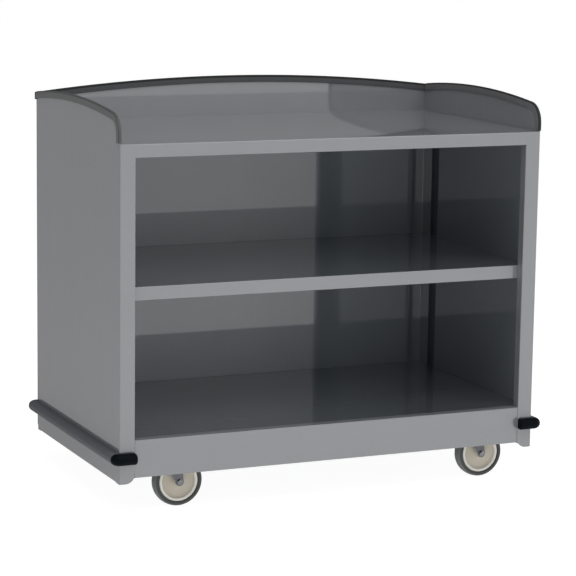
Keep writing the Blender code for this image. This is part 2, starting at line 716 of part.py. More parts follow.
def bumper_cap(name, side, end):
    """A corner cap: a spigot in the rail's end, a quarter turn, and a leg across the stile."""
    flat = BUMPER_DEPTH - BUMPER_HEIGHT / 2 - GAP
    outer = [(0.0, BUMPER_HEIGHT / 2)]
    outer += arc_points((flat, 0.0), BUMPER_HEIGHT / 2, 90, -90, BUMPER_ARC_STEPS)
    outer += [(0.0, -BUMPER_HEIGHT / 2)]
    tongue_top = BUMPER_HEIGHT / 2 - BUMPER_CHANNEL_WALL - BUMPER_CHANNEL_LIP - 2 * GAP
    spigot_half = tongue_top - BUMPER_TONGUE - GAP
    spigot_radius = BUMPER_HEIGHT / 2 - BUMPER_RAIL_WALL - GAP
    turn = math.degrees(math.asin(spigot_half / spigot_radius))
    spigot_back = BUMPER_CHANNEL_WALL + 2 * GAP
    spigot = [(spigot_back, spigot_half)]
    spigot += arc_points((flat, 0.0), spigot_radius, turn, -turn, BUMPER_ARC_STEPS)
    spigot += [(spigot_back, -spigot_half)]
    corner_x = HALF_WIDTH + GAP
    corner_y = HALF_DEPTH + GAP

    def ring(section, x, y, angle):
        out_x = math.cos(math.radians(angle))
        out_y = math.sin(math.radians(angle))
        return [(side * (x + depth * out_x), end * (y + depth * out_y), BUMPER_CENTRE_HEIGHT + height)
                for depth, height in section]

    rings = [ring(spigot, corner_x, corner_y - SPIGOT_LENGTH, 0), ring(spigot, corner_x, corner_y, 0)]
    for step in range(BUMPER_TURN_STEPS + 1):
        rings.append(ring(outer, corner_x, corner_y, 90 * step / BUMPER_TURN_STEPS))
    rings.append(ring(outer, STILE_EDGE, corner_y, 90))
    return swept(name, rings, BUMPER_BLACK)


# Casters

def caster_plate():
    """Top plate with its four bolt holes, its kingpin hole and the upper ball race."""
    outline = rounded_rectangle(PLATE_WIDTH, PLATE_LENGTH, PLATE_CORNER, BEND_STEPS)
    plate = prism("caster_plate", outline, "Z", PLATE_BOTTOM, CASTER_HEIGHT, ZINC)
    overlap = PLATE_SHEET / 2
    profile = [(RACE_INNER_RADIUS, RACE_BOTTOM), (RACE_OUTER_RADIUS, RACE_BOTTOM),
               (RACE_OUTER_RADIUS, PLATE_BOTTOM + overlap), (RACE_INNER_RADIUS, PLATE_BOTTOM + overlap)]
    race = turned("upper_race", profile, "Z", 2 * SMALL_ROUND_STEPS, None, ring=True)
    boolean(plate, race, "UNION")
    work = bmesh.new()
    places = [(0.0, 0.0, KINGPIN_RADIUS + GAP)]
    for x in (-1, 1):
        for y in (-1, 1):
            places.append((x * PLATE_HOLE_SPACING_SHORT / 2, y * PLATE_HOLE_SPACING_LONG / 2,
                           PLATE_HOLE_RADIUS))
    middle = CASTER_HEIGHT - PLATE_SHEET / 2
    for x, y, radius in places:
        bmesh.ops.create_cone(work, cap_ends=True, segments=SMALL_ROUND_STEPS, radius1=radius,
                              radius2=radius, depth=PLATE_SHEET + 2 * OVERRUN,
                              matrix=Matrix.Translation((x, y, middle)))
    boolean(plate, object_from("plate_holes", work, None), "DIFFERENCE")
    return finished_mesh(plate)


def kingpin():
    """The rivet that holds the fork under the plate, with its collar and its nut."""
    collar_bottom = PLATE_BOTTOM - GAP - KINGPIN_COLLAR_HEIGHT
    nut_top = FORK_TOP - FORK_SHEET - GAP
    profile = [(KINGPIN_RADIUS, CASTER_HEIGHT - GAP), (KINGPIN_RADIUS, PLATE_BOTTOM - GAP),
               (KINGPIN_COLLAR_RADIUS, PLATE_BOTTOM - GAP), (KINGPIN_COLLAR_RADIUS, collar_bottom),
               (KINGPIN_RADIUS, collar_bottom), (KINGPIN_RADIUS, nut_top),
               (KINGPIN_NUT_RADIUS, nut_top), (KINGPIN_NUT_RADIUS, nut_top - KINGPIN_NUT_HEIGHT)]
    return finished_mesh(turned("kingpin", profile, "Z", 2 * HEXAGON, ZINC))


def swivel_bearing():
    """The closed ring of balls that the fork turns on."""
    bottom = BEARING_TOP - BEARING_HEIGHT
    crown = BEARING_CROWN
    profile = [(BEARING_INNER_RADIUS, bottom), (BEARING_OUTER_RADIUS - crown, bottom),
               (BEARING_OUTER_RADIUS, bottom + crown), (BEARING_OUTER_RADIUS, BEARING_TOP - crown),
               (BEARING_OUTER_RADIUS - crown, BEARING_TOP), (BEARING_INNER_RADIUS, BEARING_TOP)]
    return finished_mesh(turned("swivel_bearing", profile, "Z", 2 * SMALL_ROUND_STEPS, ZINC, ring=True))


def leg_edge(height, side):
    """The fork leg's rear (-1) or front (1) edge: a curve that runs into the leg's round end."""
    if height < WHEEL_RADIUS:
        return CASTER_TRAIL + side * math.sqrt(FORK_END_RADIUS ** 2 - (height - WHEEL_RADIUS) ** 2)
    top, flare = (YOKE_FRONT, LEG_FRONT_FLARE) if side > 0 else (-YOKE_REAR, LEG_REAR_FLARE)
    bottom = CASTER_TRAIL + side * FORK_END_RADIUS
    control = bottom - flare
    share = (height - WHEEL_RADIUS) / (FORK_TOP - FORK_BEND_RADIUS - WHEEL_RADIUS)
    return (1 - share) ** 2 * bottom + 2 * share * (1 - share) * control + share ** 2 * top


def fork():
    """Fork pressed from one plate: a yoke on the swivel axis and two legs that trail behind it."""
    root = FORK_TOP - FORK_BEND_RADIUS
    half = LEG_OUTSIDE - FORK_BEND_RADIUS
    sheet = FoldedSheet((0.0, 0.0, FORK_TOP), (1.0, 0.0, 0.0), (0.0, 1.0, 0.0))
    corner = sheet.blank([(-YOKE_REAR, -half), (YOKE_FRONT, -half), (YOKE_FRONT, half), (-YOKE_REAR, half)])
    heights = [root + (WHEEL_RADIUS - root) * step / LEG_STEPS for step in range(1, LEG_STEPS + 1)]
    heights += [WHEEL_RADIUS - FORK_END_RADIUS * math.sin(math.radians(LEG_END_ANGLE * step / FOOT_STEPS))
                for step in range(1, FOOT_STEPS + 1)]
    for first, second, flip in ((0, 1, False), (2, 3, True)):
        steps = [bend(90, radius=FORK_BEND_RADIUS)]
        above = root
        for height in heights:
            insets = (leg_edge(height, -1) + YOKE_REAR, YOKE_FRONT - leg_edge(height, 1))
            if flip:
                insets = insets[::-1]
            steps.append(flat(above - height, *insets))
            above = height
        sheet.flange(corner[first], corner[second], steps)
    part = sheet.solid("fork", ZINC, FORK_SHEET)
    reach = 2 * (LEG_OUTSIDE + OVERRUN)
    work = bmesh.new()
    bmesh.ops.create_cone(work, cap_ends=True, segments=SMALL_ROUND_STEPS, radius1=AXLE_RADIUS + GAP,
                          radius2=AXLE_RADIUS + GAP, depth=reach,
                          matrix=Matrix.Translation((CASTER_TRAIL, 0.0, WHEEL_RADIUS))
                          @ Matrix.Rotation(math.radians(90), 4, "X"))
    bmesh.ops.create_cone(work, cap_ends=True, segments=SMALL_ROUND_STEPS, radius1=KINGPIN_RADIUS + GAP,
                          radius2=KINGPIN_RADIUS + GAP, depth=FORK_SHEET + 2 * OVERRUN,
                          matrix=Matrix.Translation((0.0, 0.0, FORK_TOP)))
    boolean(part, object_from("fork_holes", work, None), "DIFFERENCE")
    return finished_mesh(part)


def axle_bolt():
    """The wheel's bolt, with its head in front and its nut behind."""
    face = LEG_OUTSIDE + GAP
    nut = face + AXLE_HEAD_HEIGHT
    profile = [(AXLE_HEAD_RADIUS, -nut), (AXLE_HEAD_RADIUS, -face), (AXLE_RADIUS, -face),
               (AXLE_RADIUS, face), (AXLE_HEAD_RADIUS, face), (AXLE_HEAD_RADIUS, nut),
               (AXLE_RADIUS, nut), (AXLE_RADIUS, nut + AXLE_END)]
    return finished_mesh(turned("axle_bolt", profile, "Y", 2 * HEXAGON, ZINC))


def axle_sleeve():
    """The steel sleeve that the hub turns on, clamped between the fork's legs."""
    inner = AXLE_RADIUS + GAP
    reach = LEG_INSIDE - GAP
    profile = [(inner, -reach), (inner + SLEEVE_WALL, -reach), (inner + SLEEVE_WALL, reach), (inner, reach)]
    return finished_mesh(turned("axle_sleeve", profile, "Y", SMALL_ROUND_STEPS, ZINC, ring=True))


def wheel_hub():
    """Moulded hub: a boss on the sleeve, a disc set back on both faces and a beaded rim."""
    bore = AXLE_RADIUS + GAP + SLEEVE_WALL + GAP
    rim = HUB_RIM_WIDTH / 2
    disc = rim - HUB_RECESS
    half = [(HUB_RADIUS - GAP, rim), (HUB_RADIUS - HUB_RIM_BEAD, rim),
            (HUB_RADIUS - HUB_RIM_BEAD - HUB_RECESS / 2, disc), (HUB_BOSS_RADIUS + HUB_RECESS / 2, disc),
            (HUB_BOSS_RADIUS, HUB_BOSS_WIDTH / 2), (bore, HUB_BOSS_WIDTH / 2)]
    profile = half + [(radius, -y) for radius, y in reversed(half)]
    return finished_mesh(turned("wheel_hub", profile, "Y", WHEEL_STEPS, HUB_CREAM, ring=True))


def tyre():
    """Solid rubber tyre with a narrow tread and wide round shoulders."""
    side = TYRE_WIDTH / 2
    tread = side - TYRE_SHOULDER
    bend = arc_points((WHEEL_RADIUS - TYRE_SHOULDER, tread), TYRE_SHOULDER, 0, 90, SHOULDER_STEPS)
    half = bend + [(HUB_RADIUS, side)]
    profile = half + [(radius, -y) for radius, y in reversed(half)]
    return finished_mesh(turned("tyre", profile, "Y", WHEEL_STEPS, TYRE_GREY, ring=True))


def empty(name, place, parent=None):
    frame = bpy.data.objects.new(name, None)
    bpy.context.scene.collection.objects.link(frame)
    frame.location = place
    frame.parent = parent
    return frame


def casters():
    """Four swivel casters. Each fork turns on its swivel axis and each wheel on its axle."""
    fixed = {"plate": caster_plate(), "kingpin": kingpin()}
    swivelling = {"bearing": swivel_bearing(), "fork": fork()}
    on_axle = {"axle": axle_bolt(), "sleeve": axle_sleeve(), "hub": wheel_hub(), "tyre": tyre()}
    for corner, side, end in (("front_left", -1, -1), ("front_right", 1, -1),
                              ("rear_left", -1, 1), ("rear_right", 1, 1)):
        swivel = empty("caster_" + corner + "_swivel", (side * CASTER_X, end * CASTER_Y, 0.0))
        axle = empty("caster_" + corner + "_wheel", (CASTER_TRAIL, 0.0, WHEEL_RADIUS), swivel)
        for group, parent in ((fixed, swivel), (swivelling, swivel), (on_axle, axle)):
            for piece, mesh in group.items():
                part = place_object("caster_" + corner + "_" + piece, mesh, None)
                part.parent = parent


# The cart

def build():
    clear_scene()
    side_panel("side_panel_left", left=True)
    side_panel("side_panel_right", left=False)
    back_panel()
    worktop()
    middle_shelf()
    deck()
    worktop_braces()
    shelf_supports()
    underframe()
    side_trim("edge_trim_left", -1)
    side_trim("edge_trim_right", 1)
    back_trim()
    for hand, side in (("left", -1), ("right", 1)):
        bumper_channel("bumper_channel_" + hand, side)
        bumper_rail("bumper_rail_" + hand, side)
        bumper_cap("bumper_cap_front_" + hand, side, -1)
        bumper_cap("bumper_cap_rear_" + hand, side, 1)
    casters()


build()
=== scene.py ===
"""Hydration cart: fine pieces, finishes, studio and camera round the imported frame."""
import math

import bmesh
import bpy
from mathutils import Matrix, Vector


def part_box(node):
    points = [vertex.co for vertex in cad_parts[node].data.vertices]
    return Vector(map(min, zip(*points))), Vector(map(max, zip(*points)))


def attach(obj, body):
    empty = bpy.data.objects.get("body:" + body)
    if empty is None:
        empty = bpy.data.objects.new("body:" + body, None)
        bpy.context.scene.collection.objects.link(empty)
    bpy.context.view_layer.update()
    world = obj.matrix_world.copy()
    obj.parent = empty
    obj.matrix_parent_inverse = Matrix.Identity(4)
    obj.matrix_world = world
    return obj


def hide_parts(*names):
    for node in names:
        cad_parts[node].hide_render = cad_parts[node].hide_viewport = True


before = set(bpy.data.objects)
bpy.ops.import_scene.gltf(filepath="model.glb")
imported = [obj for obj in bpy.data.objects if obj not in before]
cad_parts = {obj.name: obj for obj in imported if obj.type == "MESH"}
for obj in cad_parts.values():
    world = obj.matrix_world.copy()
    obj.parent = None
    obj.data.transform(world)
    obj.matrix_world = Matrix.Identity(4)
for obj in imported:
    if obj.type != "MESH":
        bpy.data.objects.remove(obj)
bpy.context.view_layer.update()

# Camera, in the frame's own axes
CAMERA_PLACE = (-2.3919, -5.3733, 1.4795)
CAMERA_TURN_DEG = (80.4544, -0.8242, -23.9675)
CAMERA_LENS = 143.07
CAMERA_SENSOR = 36.0
CAMERA_REACH = 200.0

# Cabinet, in metres as the frame has it
HANDS = (("left", -1), ("right", 1))
HALF_WIDTH = 0.5680
HALF_DEPTH = 0.31975
WORKTOP_HEIGHT = 0.9143
WORKTOP_DROP = 0.0336
STILE_EDGE = 0.5280
SHEET = 0.0012
BEND = 0.0028
GAP = 0.0003
DECK_HEIGHT = 0.1975
SHELF_HEIGHT = 0.5681
SHELF_DROP = 0.0349
COMPARTMENT_FRONT = -0.2930
STRIP_SHEET = 0.0010
STRIP_FRONT = 0.2270
STRIP_REAR = 0.2660
STRIP_GAP = 0.0010
STRIP_EASE = 0.0004
STRIP_EASE_IN = 0.0003
STRIP_EASE_UP = 0.0006

# Feet of the side panels: their bottom, the depth of their round, its radius, and where they are
FOOT_BOTTOM = 0.0911
FOOT_CUT = 0.0129
FOOT_ROUND = 0.0242
FOOT_SLACK = 0.00002
FEET_BEYOND = 0.30

# Galleries and their push-on trim
SIDE_PEAK = WORKTOP_HEIGHT + 0.0906
SIDE_RADIUS = 2.5920
SIDE_SHIFT = 0.0299
CORNER_RADIUS = 0.0522
BACK_PEAK = SIDE_PEAK + 0.0163
BACK_RISE = 0.0337
BACK_RADIUS = (HALF_WIDTH ** 2 + BACK_RISE ** 2) / (2 * BACK_RISE)
TRIM_WIDTH = 0.0082
TRIM_DEPTH = 0.0190
TRIM_SLOT_TOP = 0.0021
TRIM_LIP = 0.0010
TRIM_FRONT_END = WORKTOP_HEIGHT + 0.0020
TRIM_BACK_Y = HALF_DEPTH - SHEET / 2
TRIM_REAR_END = TRIM_BACK_Y - TRIM_WIDTH / 2 - GAP
CROWN_STEPS = 20
CROWN_DEPTH = 0.0058

# Bumper
BUMPER_HEIGHT = 0.0278
BUMPER_DEPTH = 0.0232
BUMPER_LEVEL = 0.1546
CHANNEL_DEPTH = 0.0076
CHANNEL_WALL = 0.0015
CHANNEL_LIP = 0.0017
CHANNEL_ROUND = 0.0006
RAIL_WALL = 0.0033
RAIL_TONGUE = 0.0028
RAIL_GROOVE = 0.0008
RAIL_GROOVE_AT = -8.0
RAIL_GROOVE_SPREAD = 6.0
CAP_EDGE_RADIUS = 0.0008
CAP_END_RADIUS = 0.0042
CAP_SPIGOT = 0.0120

# Casters
CORNERS = (("front_left", -1, -1), ("front_right", 1, -1), ("rear_left", -1, 1), ("rear_right", 1, 1))
CASTER_X = 0.4242
CASTER_Y = 0.22015
TRAIL = 0.0429
WHEEL_RADIUS = 0.0635
WHEEL_STEPS = 96
TYRE_HALF = 0.0165
TREAD_HALF = 0.0090
TREAD_DROP = 0.0008
PARTING_LINE = 0.0002
SHOULDER = 0.0075
TYRE_WALL_FROM = TREAD_HALF + 0.0058
HUB_RADIUS = 0.0521
HUB_HALF = 0.0145
HUB_BEAD = 0.0088
DISC_RECESS = 0.0052
RIM_STEPS = 14
BOSS_RADIUS = 0.0130
BOSS_HALF = 0.0180
BORE_RADIUS = 0.0066
LEG_OUTSIDE = 0.0215
FORK_SHEET = 0.0025
FORK_BEND = 0.0050
FORK_TOP = 0.1439
FORK_END = 0.0110
YOKE_REAR = -0.0270
YOKE_FRONT = 0.0330
REAR_FLARE = 0.0190
FRONT_FLARE = 0.0040
AXLE_RADIUS = 0.0048
AXLE_END = 0.0028
HEAD_RADIUS = 0.0079
HEAD_HEIGHT = 0.0055
WASHER = 0.0010
RING_OUTER = 0.0235
RING_INNER = 0.0130
RING_LIP = 0.0014
RING_ROUND = 0.0012
PLATE_BOTTOM = 0.1535
PLATE_HOLE_X = 0.02225
PLATE_HOLE_Y = 0.0365
BOLT_GAP = 0.0001

# How far edges are rounded, and how close points are one
SHEET_ROUND = 0.0003
FRAME_ROUND = 0.0008
FORK_ROUND = 0.0005
PLATE_ROUND = 0.0004
NODE_MERGE = 0.00002
MERGE = 0.000001


# Node helpers

class Nodes:
    """Adds nodes to a shader or geometry tree and links them."""

    def __init__(self, tree):
        self.tree = tree
        self.tree.nodes.clear()

    def feed(self, socket, value):
        if isinstance(value, bpy.types.NodeSocket):
            self.tree.links.new(value, socket)
        else:
            socket.default_value = value

    def fill(self, node, inputs):
        for key, value in inputs.items():
            self.feed(node.inputs[key], value)

    def add(self, kind, inputs=None, **settings):
        node = self.tree.nodes.new(kind)
        for key, value in settings.items():
            setattr(node, key, value)
        self.fill(node, inputs or {})
        return node

    def math(self, operation, *values):
        """Work an operation on the first two values, then on the result and each further one."""
        result = values[0]
        for value in values[1:]:
            result = self.add("ShaderNodeMath", {0: result, 1: value}, operation=operation).outputs[0]
        return result

    def weighted(self, *pairs):
        """The sum of values, each times its weight."""
        return self.math("ADD", *[self.math("MULTIPLY", value, weight) for value, weight in pairs])

    def ranged(self, value, low, high, to_low=0.0, to_high=1.0, smooth=False):
        node = self.add("ShaderNodeMapRange", {"Value": value, "From Min": low, "From Max": high,
                                               "To Min": to_low, "To Max": to_high},
                        interpolation_type="SMOOTHSTEP" if smooth else "LINEAR")
        return node.outputs["Result"]

    def mixed(self, share, first, second, blend="MIX"):
        """Mix two colours by a share."""
        node = self.add("ShaderNodeMix", {0: share, 6: first, 7: second}, data_type="RGBA", blend_type=blend)
        return node.outputs[2]

    def mottled(self, tone, colour, contrast, low=0.32):
        """A colour that runs from darker to lighter, by a contrast, as the tone goes up."""
        return self.mixed(self.ranged(tone, low, 1.0 - low), shade(colour, 1.0 - contrast),
                          shade(colour, 1.0 + contrast))

    def place(self, scale=(1.0, 1.0, 1.0)):
        """Object coordinates, stretched by a scale on each axis."""
        coordinate = self.add("ShaderNodeTexCoord")
        mapping = self.add("ShaderNodeMapping", {"Vector": coordinate.outputs["Object"], "Scale": scale})
        return mapping.outputs["Vector"]

    def spot(self):
        """The object coordinates one by one, as X, Y and Z."""
        return self.add("ShaderNodeSeparateXYZ", {"Vector": self.place()}).outputs

    def noise(self, scale, stretch=(1.0, 1.0, 1.0), detail=3.0, roughness=0.5):
        node = self.add("ShaderNodeTexNoise", {"Vector": self.place(stretch), "Scale": scale,
                                               "Detail": detail, "Roughness": roughness})
        return node.outputs["Fac"]

    def cells(self, scale):
        return self.add("ShaderNodeTexVoronoi", {"Vector": self.place(), "Scale": scale}).outputs

    def bump(self, shader, height, strength, distance):
        node = self.add("ShaderNodeBump", {"Height": height, "Strength": strength, "Distance": distance})
        self.feed(shader.inputs["Normal"], node.outputs["Normal"])

    def raised(self, geometry, height):
        """Geometry moved up by a height, or down by a negative one."""
        shift = self.add("ShaderNodeCombineXYZ", {"Z": height}).outputs[0]
        return self.add("GeometryNodeTransform", {"Geometry": geometry, "Translation": shift}).outputs[0]


def grey(level):
    return (level, level, level, 1.0)


def shade(colour, factor):
    return (colour[0] * factor, colour[1] * factor, colour[2] * factor, 1.0)


def stretched(axis, along, across):
    """A noise's scale on each axis, when its grain runs along one of them."""
    return tuple(along if each == axis else across for each in "XYZ")


def new_material(name):
    made = bpy.data.materials.new(name)
    made.use_nodes = True
    nodes = Nodes(made.node_tree)
    shader = nodes.add("ShaderNodeBsdfPrincipled")
    nodes.add("ShaderNodeOutputMaterial", {"Surface": shader.outputs["BSDF"]})
    return made, nodes, shader


def edge_wear_and_highlight(nodes, base, lift, radius, amount):
    """Take a base toward the colour of lift on rounded or cut edges, and leave the flats: edge wear with a painted
    highlight.
    """
    rounded = nodes.add("ShaderNodeBevel", {"Radius": radius}, samples=4)
    flat = nodes.add("ShaderNodeNewGeometry")
    turn = nodes.add("ShaderNodeVectorMath", {0: rounded.outputs["Normal"], 1: flat.outputs["Normal"]},
                     operation="DOT_PRODUCT")
    edge = nodes.ranged(turn.outputs["Value"], 0.995, 0.90)
    return nodes.mixed(nodes.math("MULTIPLY", edge, amount), base, lift)


def inner_share(nodes):
    """1 on faces within the cabinet's shell and under its worktop, and 0 outside."""
    spot = nodes.spot()
    aside = nodes.add("ShaderNodeMath", {0: spot["X"]}, operation="ABSOLUTE").outputs[0]
    across = nodes.math("LESS_THAN", aside, HALF_WIDTH - SHEET / 2)
    behind = nodes.math("GREATER_THAN", spot["Y"], COMPARTMENT_FRONT)
    before = nodes.math("LESS_THAN", spot["Y"], HALF_DEPTH - SHEET / 2)
    below = nodes.math("LESS_THAN", spot["Z"], WORKTOP_HEIGHT - SHEET / 2)
    return nodes.math("MULTIPLY", nodes.math("MULTIPLY", across, behind), nodes.math("MULTIPLY", before, below))


# Finishes

STEEL_COLOUR = (0.275, 0.282, 0.296)
# Painted shade: a cool, darker tint on steel inside the compartments. Painted light on the back panel there, stronger
# on its left than its right.
INNER_SHADE_TINT = (0.93, 0.995, 1.04, 1.0)
BACK_LEFT_PAINTED_LIGHT = (1.42, 1.46, 1.48, 1.0)
BACK_RIGHT_PAINTED_LIGHT = (1.18, 1.26, 1.31, 1.0)
BACK_INNER_COAT = 0.76

# Where the back panel's painted light and the decking's painted shade change across the cart, and where the
# decking's painted shade is full
BACK_LIGHT_CHANGES = (0.0, 0.25)
DECKING_SHADE_CHANGES = (-0.10, 0.30)
DECKING_SHADE_FRONT = -0.28


def painted_front_shade(nodes, inner, base):
    """Painted shade: decking darker toward its front edge and more so on the right, as the photograph shows it."""
    spot = nodes.spot()
    start = nodes.ranged(spot["X"], *DECKING_SHADE_CHANGES, -0.02, 0.14)
    forward = nodes.ranged(spot["Y"], start, DECKING_SHADE_FRONT, 0.0, 1.0, True)
    depth = nodes.ranged(spot["X"], *DECKING_SHADE_CHANGES, 0.47, 0.58)
    return nodes.mixed(nodes.math("MULTIPLY", inner, nodes.math("MULTIPLY", forward, depth)), base, grey(0.0))


def satin_steel(name, grain_axis, handled=0.0, edge_lift=0.15, inner_coat=1.0, decking=False):
    """Stainless sheet with its grain along one axis, polished edges with a painted highlight, and a few hairline
    marks.
    Inside the compartments its colour takes a painted shade tint.

    handled is how strong the marks are, worn how bright the polish and painted highlight make the edges, and
    inner_coat how clear a mirror the faces inside the compartments are. inner_coat below 1 also gives the
    back panel its painted light, and decking paints shade toward the decking's front.
    """
    made, nodes, shader = new_material(name)
    grain = nodes.noise(1.0, stretched(grain_axis, 4.0, 620.0), 2.0)
    band = nodes.noise(1.0, stretched(grain_axis, 1.2, 90.0))
    cloud = nodes.noise(2.6, detail=2.0)
    rub = nodes.noise(9.0, detail=6.0, roughness=0.7)
    tone = nodes.weighted((grain, 0.50), (band, 0.43), (cloud, 0.07))
    base = nodes.mottled(tone, STEEL_COLOUR, 0.055)
    base = edge_wear_and_highlight(nodes, base, shade(STEEL_COLOUR, 1.40), 0.0018, edge_lift)
    hair = nodes.noise(1.0, stretched("Y", 1.5, 150.0) if grain_axis == "X" else stretched("X", 1.5, 160.0), 1.0)
    mark = nodes.math("MULTIPLY", nodes.ranged(hair, 0.70, 0.78), nodes.ranged(rub, 0.50, 0.66), handled)
    base = nodes.mixed(mark, base, shade(STEEL_COLOUR, 1.30))
    # Painted shade tint inside the compartments, swapped on the back panel for a painted light that fades from left
    # to right
    inner = inner_share(nodes)
    tint, coat = INNER_SHADE_TINT, 1.0
    if inner_coat < 1.0:
        tint = nodes.mixed(nodes.ranged(nodes.spot()["X"], *BACK_LIGHT_CHANGES), BACK_LEFT_PAINTED_LIGHT, BACK_RIGHT_PAINTED_LIGHT)
        coat = nodes.ranged(inner, 0.0, 1.0, 1.0, inner_coat)
    base = nodes.mixed(inner, base, tint, "MULTIPLY")
    # Painted shade on the decking toward its front
    if decking:
        base = painted_front_shade(nodes, inner, base)
    rough = nodes.math("ADD", nodes.ranged(tone, 0.3, 0.7, 0.76, 0.84), nodes.ranged(rub, 0.35, 0.70, -0.012, 0.015))
    rough = nodes.math("SUBTRACT", rough, nodes.math("MULTIPLY", mark, 0.25))
    nodes.bump(shader, tone, 0.05, 0.00004)
    nodes.fill(shader, {"Base Color": base, "Roughness": rough, "Metallic": 1.0, "Coat Weight": coat,
                        "Coat Roughness": 0.03, "Coat IOR": 1.92})
    return made


def mill_steel(name):
    """Plain rolled steel of the hidden braces and channels, cloudy and a little stained."""
    made, nodes, shader = new_material(name)
    cloud = nodes.noise(7.0, detail=6.0, roughness=0.65)
    streak = nodes.noise(1.0, stretched("X", 3.0, 70.0))
    tone = nodes.weighted((cloud, 0.6), (streak, 0.4))
    base = nodes.mixed(nodes.ranged(tone, 0.35, 0.65), (0.20, 0.20, 0.205, 1.0), (0.29, 0.295, 0.30, 1.0))
    base = edge_wear_and_highlight(nodes, base, grey(0.40), 0.0015, 0.4)
    nodes.fill(shader, {"Base Color": base, "Roughness": nodes.ranged(tone, 0.3, 0.7, 0.38, 0.56),
                        "Metallic": 1.0})
    return made


def extruded_vinyl(name, colour, roughness, along, specular):
    """Extruded vinyl: fine draw lines along the piece, a faint mottle, and edges lifted by wear and a painted
    highlight.
    """
    made, nodes, shader = new_material(name)
    drawn = nodes.noise(1.0, stretched(along, 3.0, 700.0), 2.0)
    mottle = nodes.noise(22.0, detail=5.0, roughness=0.6)
    dust = nodes.noise(260.0)
    tone = nodes.weighted((drawn, 0.5), (mottle, 0.5))
    base = nodes.mottled(tone, colour, 0.10)
    base = nodes.mixed(nodes.ranged(dust, 0.62, 0.80, 0.0, 0.25), base, shade(colour, 1.5))
    base = edge_wear_and_highlight(nodes, base, shade(colour, 1.35), 0.0012, 0.4)
    rough = nodes.ranged(tone, 0.3, 0.7, roughness - 0.06, roughness + 0.07)
    nodes.bump(shader, nodes.math("ADD", drawn, nodes.math("MULTIPLY", dust, 0.5)), 0.25, 0.00008)
    nodes.fill(shader, {"Base Color": base, "Roughness": rough, "Specular IOR Level": specular})
    return made


def moulded(name, colour, roughness, grain_scale, contrast, specular, bump_depth=0.0001):
    """Moulded rubber or plastic: a pebbled skin with a slow cloud of colour."""
    made, nodes, shader = new_material(name)
    cloud = nodes.noise(14.0, detail=5.0, roughness=0.6)
    speck = nodes.noise(grain_scale * 0.6, detail=4.0)
    tone = nodes.weighted((cloud, 0.6), (speck, 0.4))
    base = nodes.mottled(tone, colour, contrast)
    base = edge_wear_and_highlight(nodes, base, shade(colour, 1.5), 0.0012, 0.35)
    rough = nodes.ranged(tone, 0.3, 0.7, roughness - 0.07, roughness + 0.07)
    nodes.bump(shader, nodes.cells(grain_scale)["Distance"], 0.3, bump_depth)
    nodes.fill(shader, {"Base Color": base, "Roughness": rough, "Specular IOR Level": specular})
    return made


def zinc_plate(name, colour):
    """Bright zinc plating with a fine crystal mottle, dulled in patches and bright on its edges."""
    made, nodes, shader = new_material(name)
    cloud = nodes.noise(45.0, detail=6.0, roughness=0.65)
    cell = nodes.add("ShaderNodeSeparateColor", {"Color": nodes.cells(420.0)["Color"]}).outputs[0]
    tone = nodes.weighted((cell, 0.25), (cloud, 0.75))
    base = nodes.mottled(tone, colour, 0.18, 0.3)
    base = edge_wear_and_highlight(nodes, base, grey(0.62), 0.0010, 0.6)
    nodes.fill(shader, {"Base Color": base, "Roughness": nodes.ranged(tone, 0.3, 0.7, 0.30, 0.50),
                        "Metallic": 1.0})
    return made


STEEL_UPRIGHT = satin_steel("satin_steel_upright", "Z")
STEEL_LENGTHWAYS = satin_steel("satin_steel_lengthways", "X", 0.12)
STEEL_BACK = satin_steel("satin_steel_back_panel", "Z", inner_coat=BACK_INNER_COAT)
STEEL_DECKING = satin_steel("satin_steel_decking", "X", 0.12, decking=True)
GROUND_STEEL = satin_steel("ground_weld_steel", "X", 0.0, 0.0)
MILL_STEEL = mill_steel("mill_steel")
TRIM_SIDE = extruded_vinyl("edge_trim_vinyl_side", (0.122, 0.124, 0.126), 0.50, "Y", 0.35)
TRIM_BACK = extruded_vinyl("edge_trim_vinyl_back", (0.061, 0.063, 0.065), 0.50, "X", 0.25)
# Painted shade: the trims' crowns take darker copies of the trim vinyl, the right crown darker than the left.
TRIM_CROWN_SHADE_SIDE = {"left": extruded_vinyl("edge_trim_crown_vinyl_left", (0.078, 0.079, 0.080), 0.55, "Y", 0.25),
                   "right": extruded_vinyl("edge_trim_crown_vinyl_right", (0.025, 0.026, 0.027), 0.55, "Y", 0.12)}
TRIM_CROWN_SHADE_BACK = extruded_vinyl("edge_trim_crown_vinyl_back", (0.018, 0.0185, 0.019), 0.55, "X", 0.12)
RAIL_VINYL = extruded_vinyl("bumper_rail_vinyl", (0.088, 0.096, 0.106), 0.45, "Y", 0.25)
CHANNEL_VINYL = extruded_vinyl("bumper_channel_vinyl", (0.085, 0.090, 0.097), 0.50, "Y", 0.3)
# Painted shade: the dark finish of the strips that stand for the band of shade in each rear corner
SHADE_STRIP_FINISH = extruded_vinyl("wall_strip_vinyl", (0.082, 0.092, 0.104), 0.60, "Y", 0.05)
CAP_VINYL = moulded("bumper_cap_vinyl", (0.0028, 0.0044, 0.0058), 0.50, 900.0, 0.12, 0.04)
# Painted light and shade: the tread takes a lighter copy of the tyre's rubber and the walls a darker one.
TYRE_TREAD_LIT = moulded("tread_rubber", (0.165, 0.175, 0.170), 0.65, 700.0, 0.14, 0.30)
TYRE_WALL_SHADED = moulded("tyre_wall_rubber", (0.073, 0.077, 0.075), 0.60, 700.0, 0.14, 0.30)
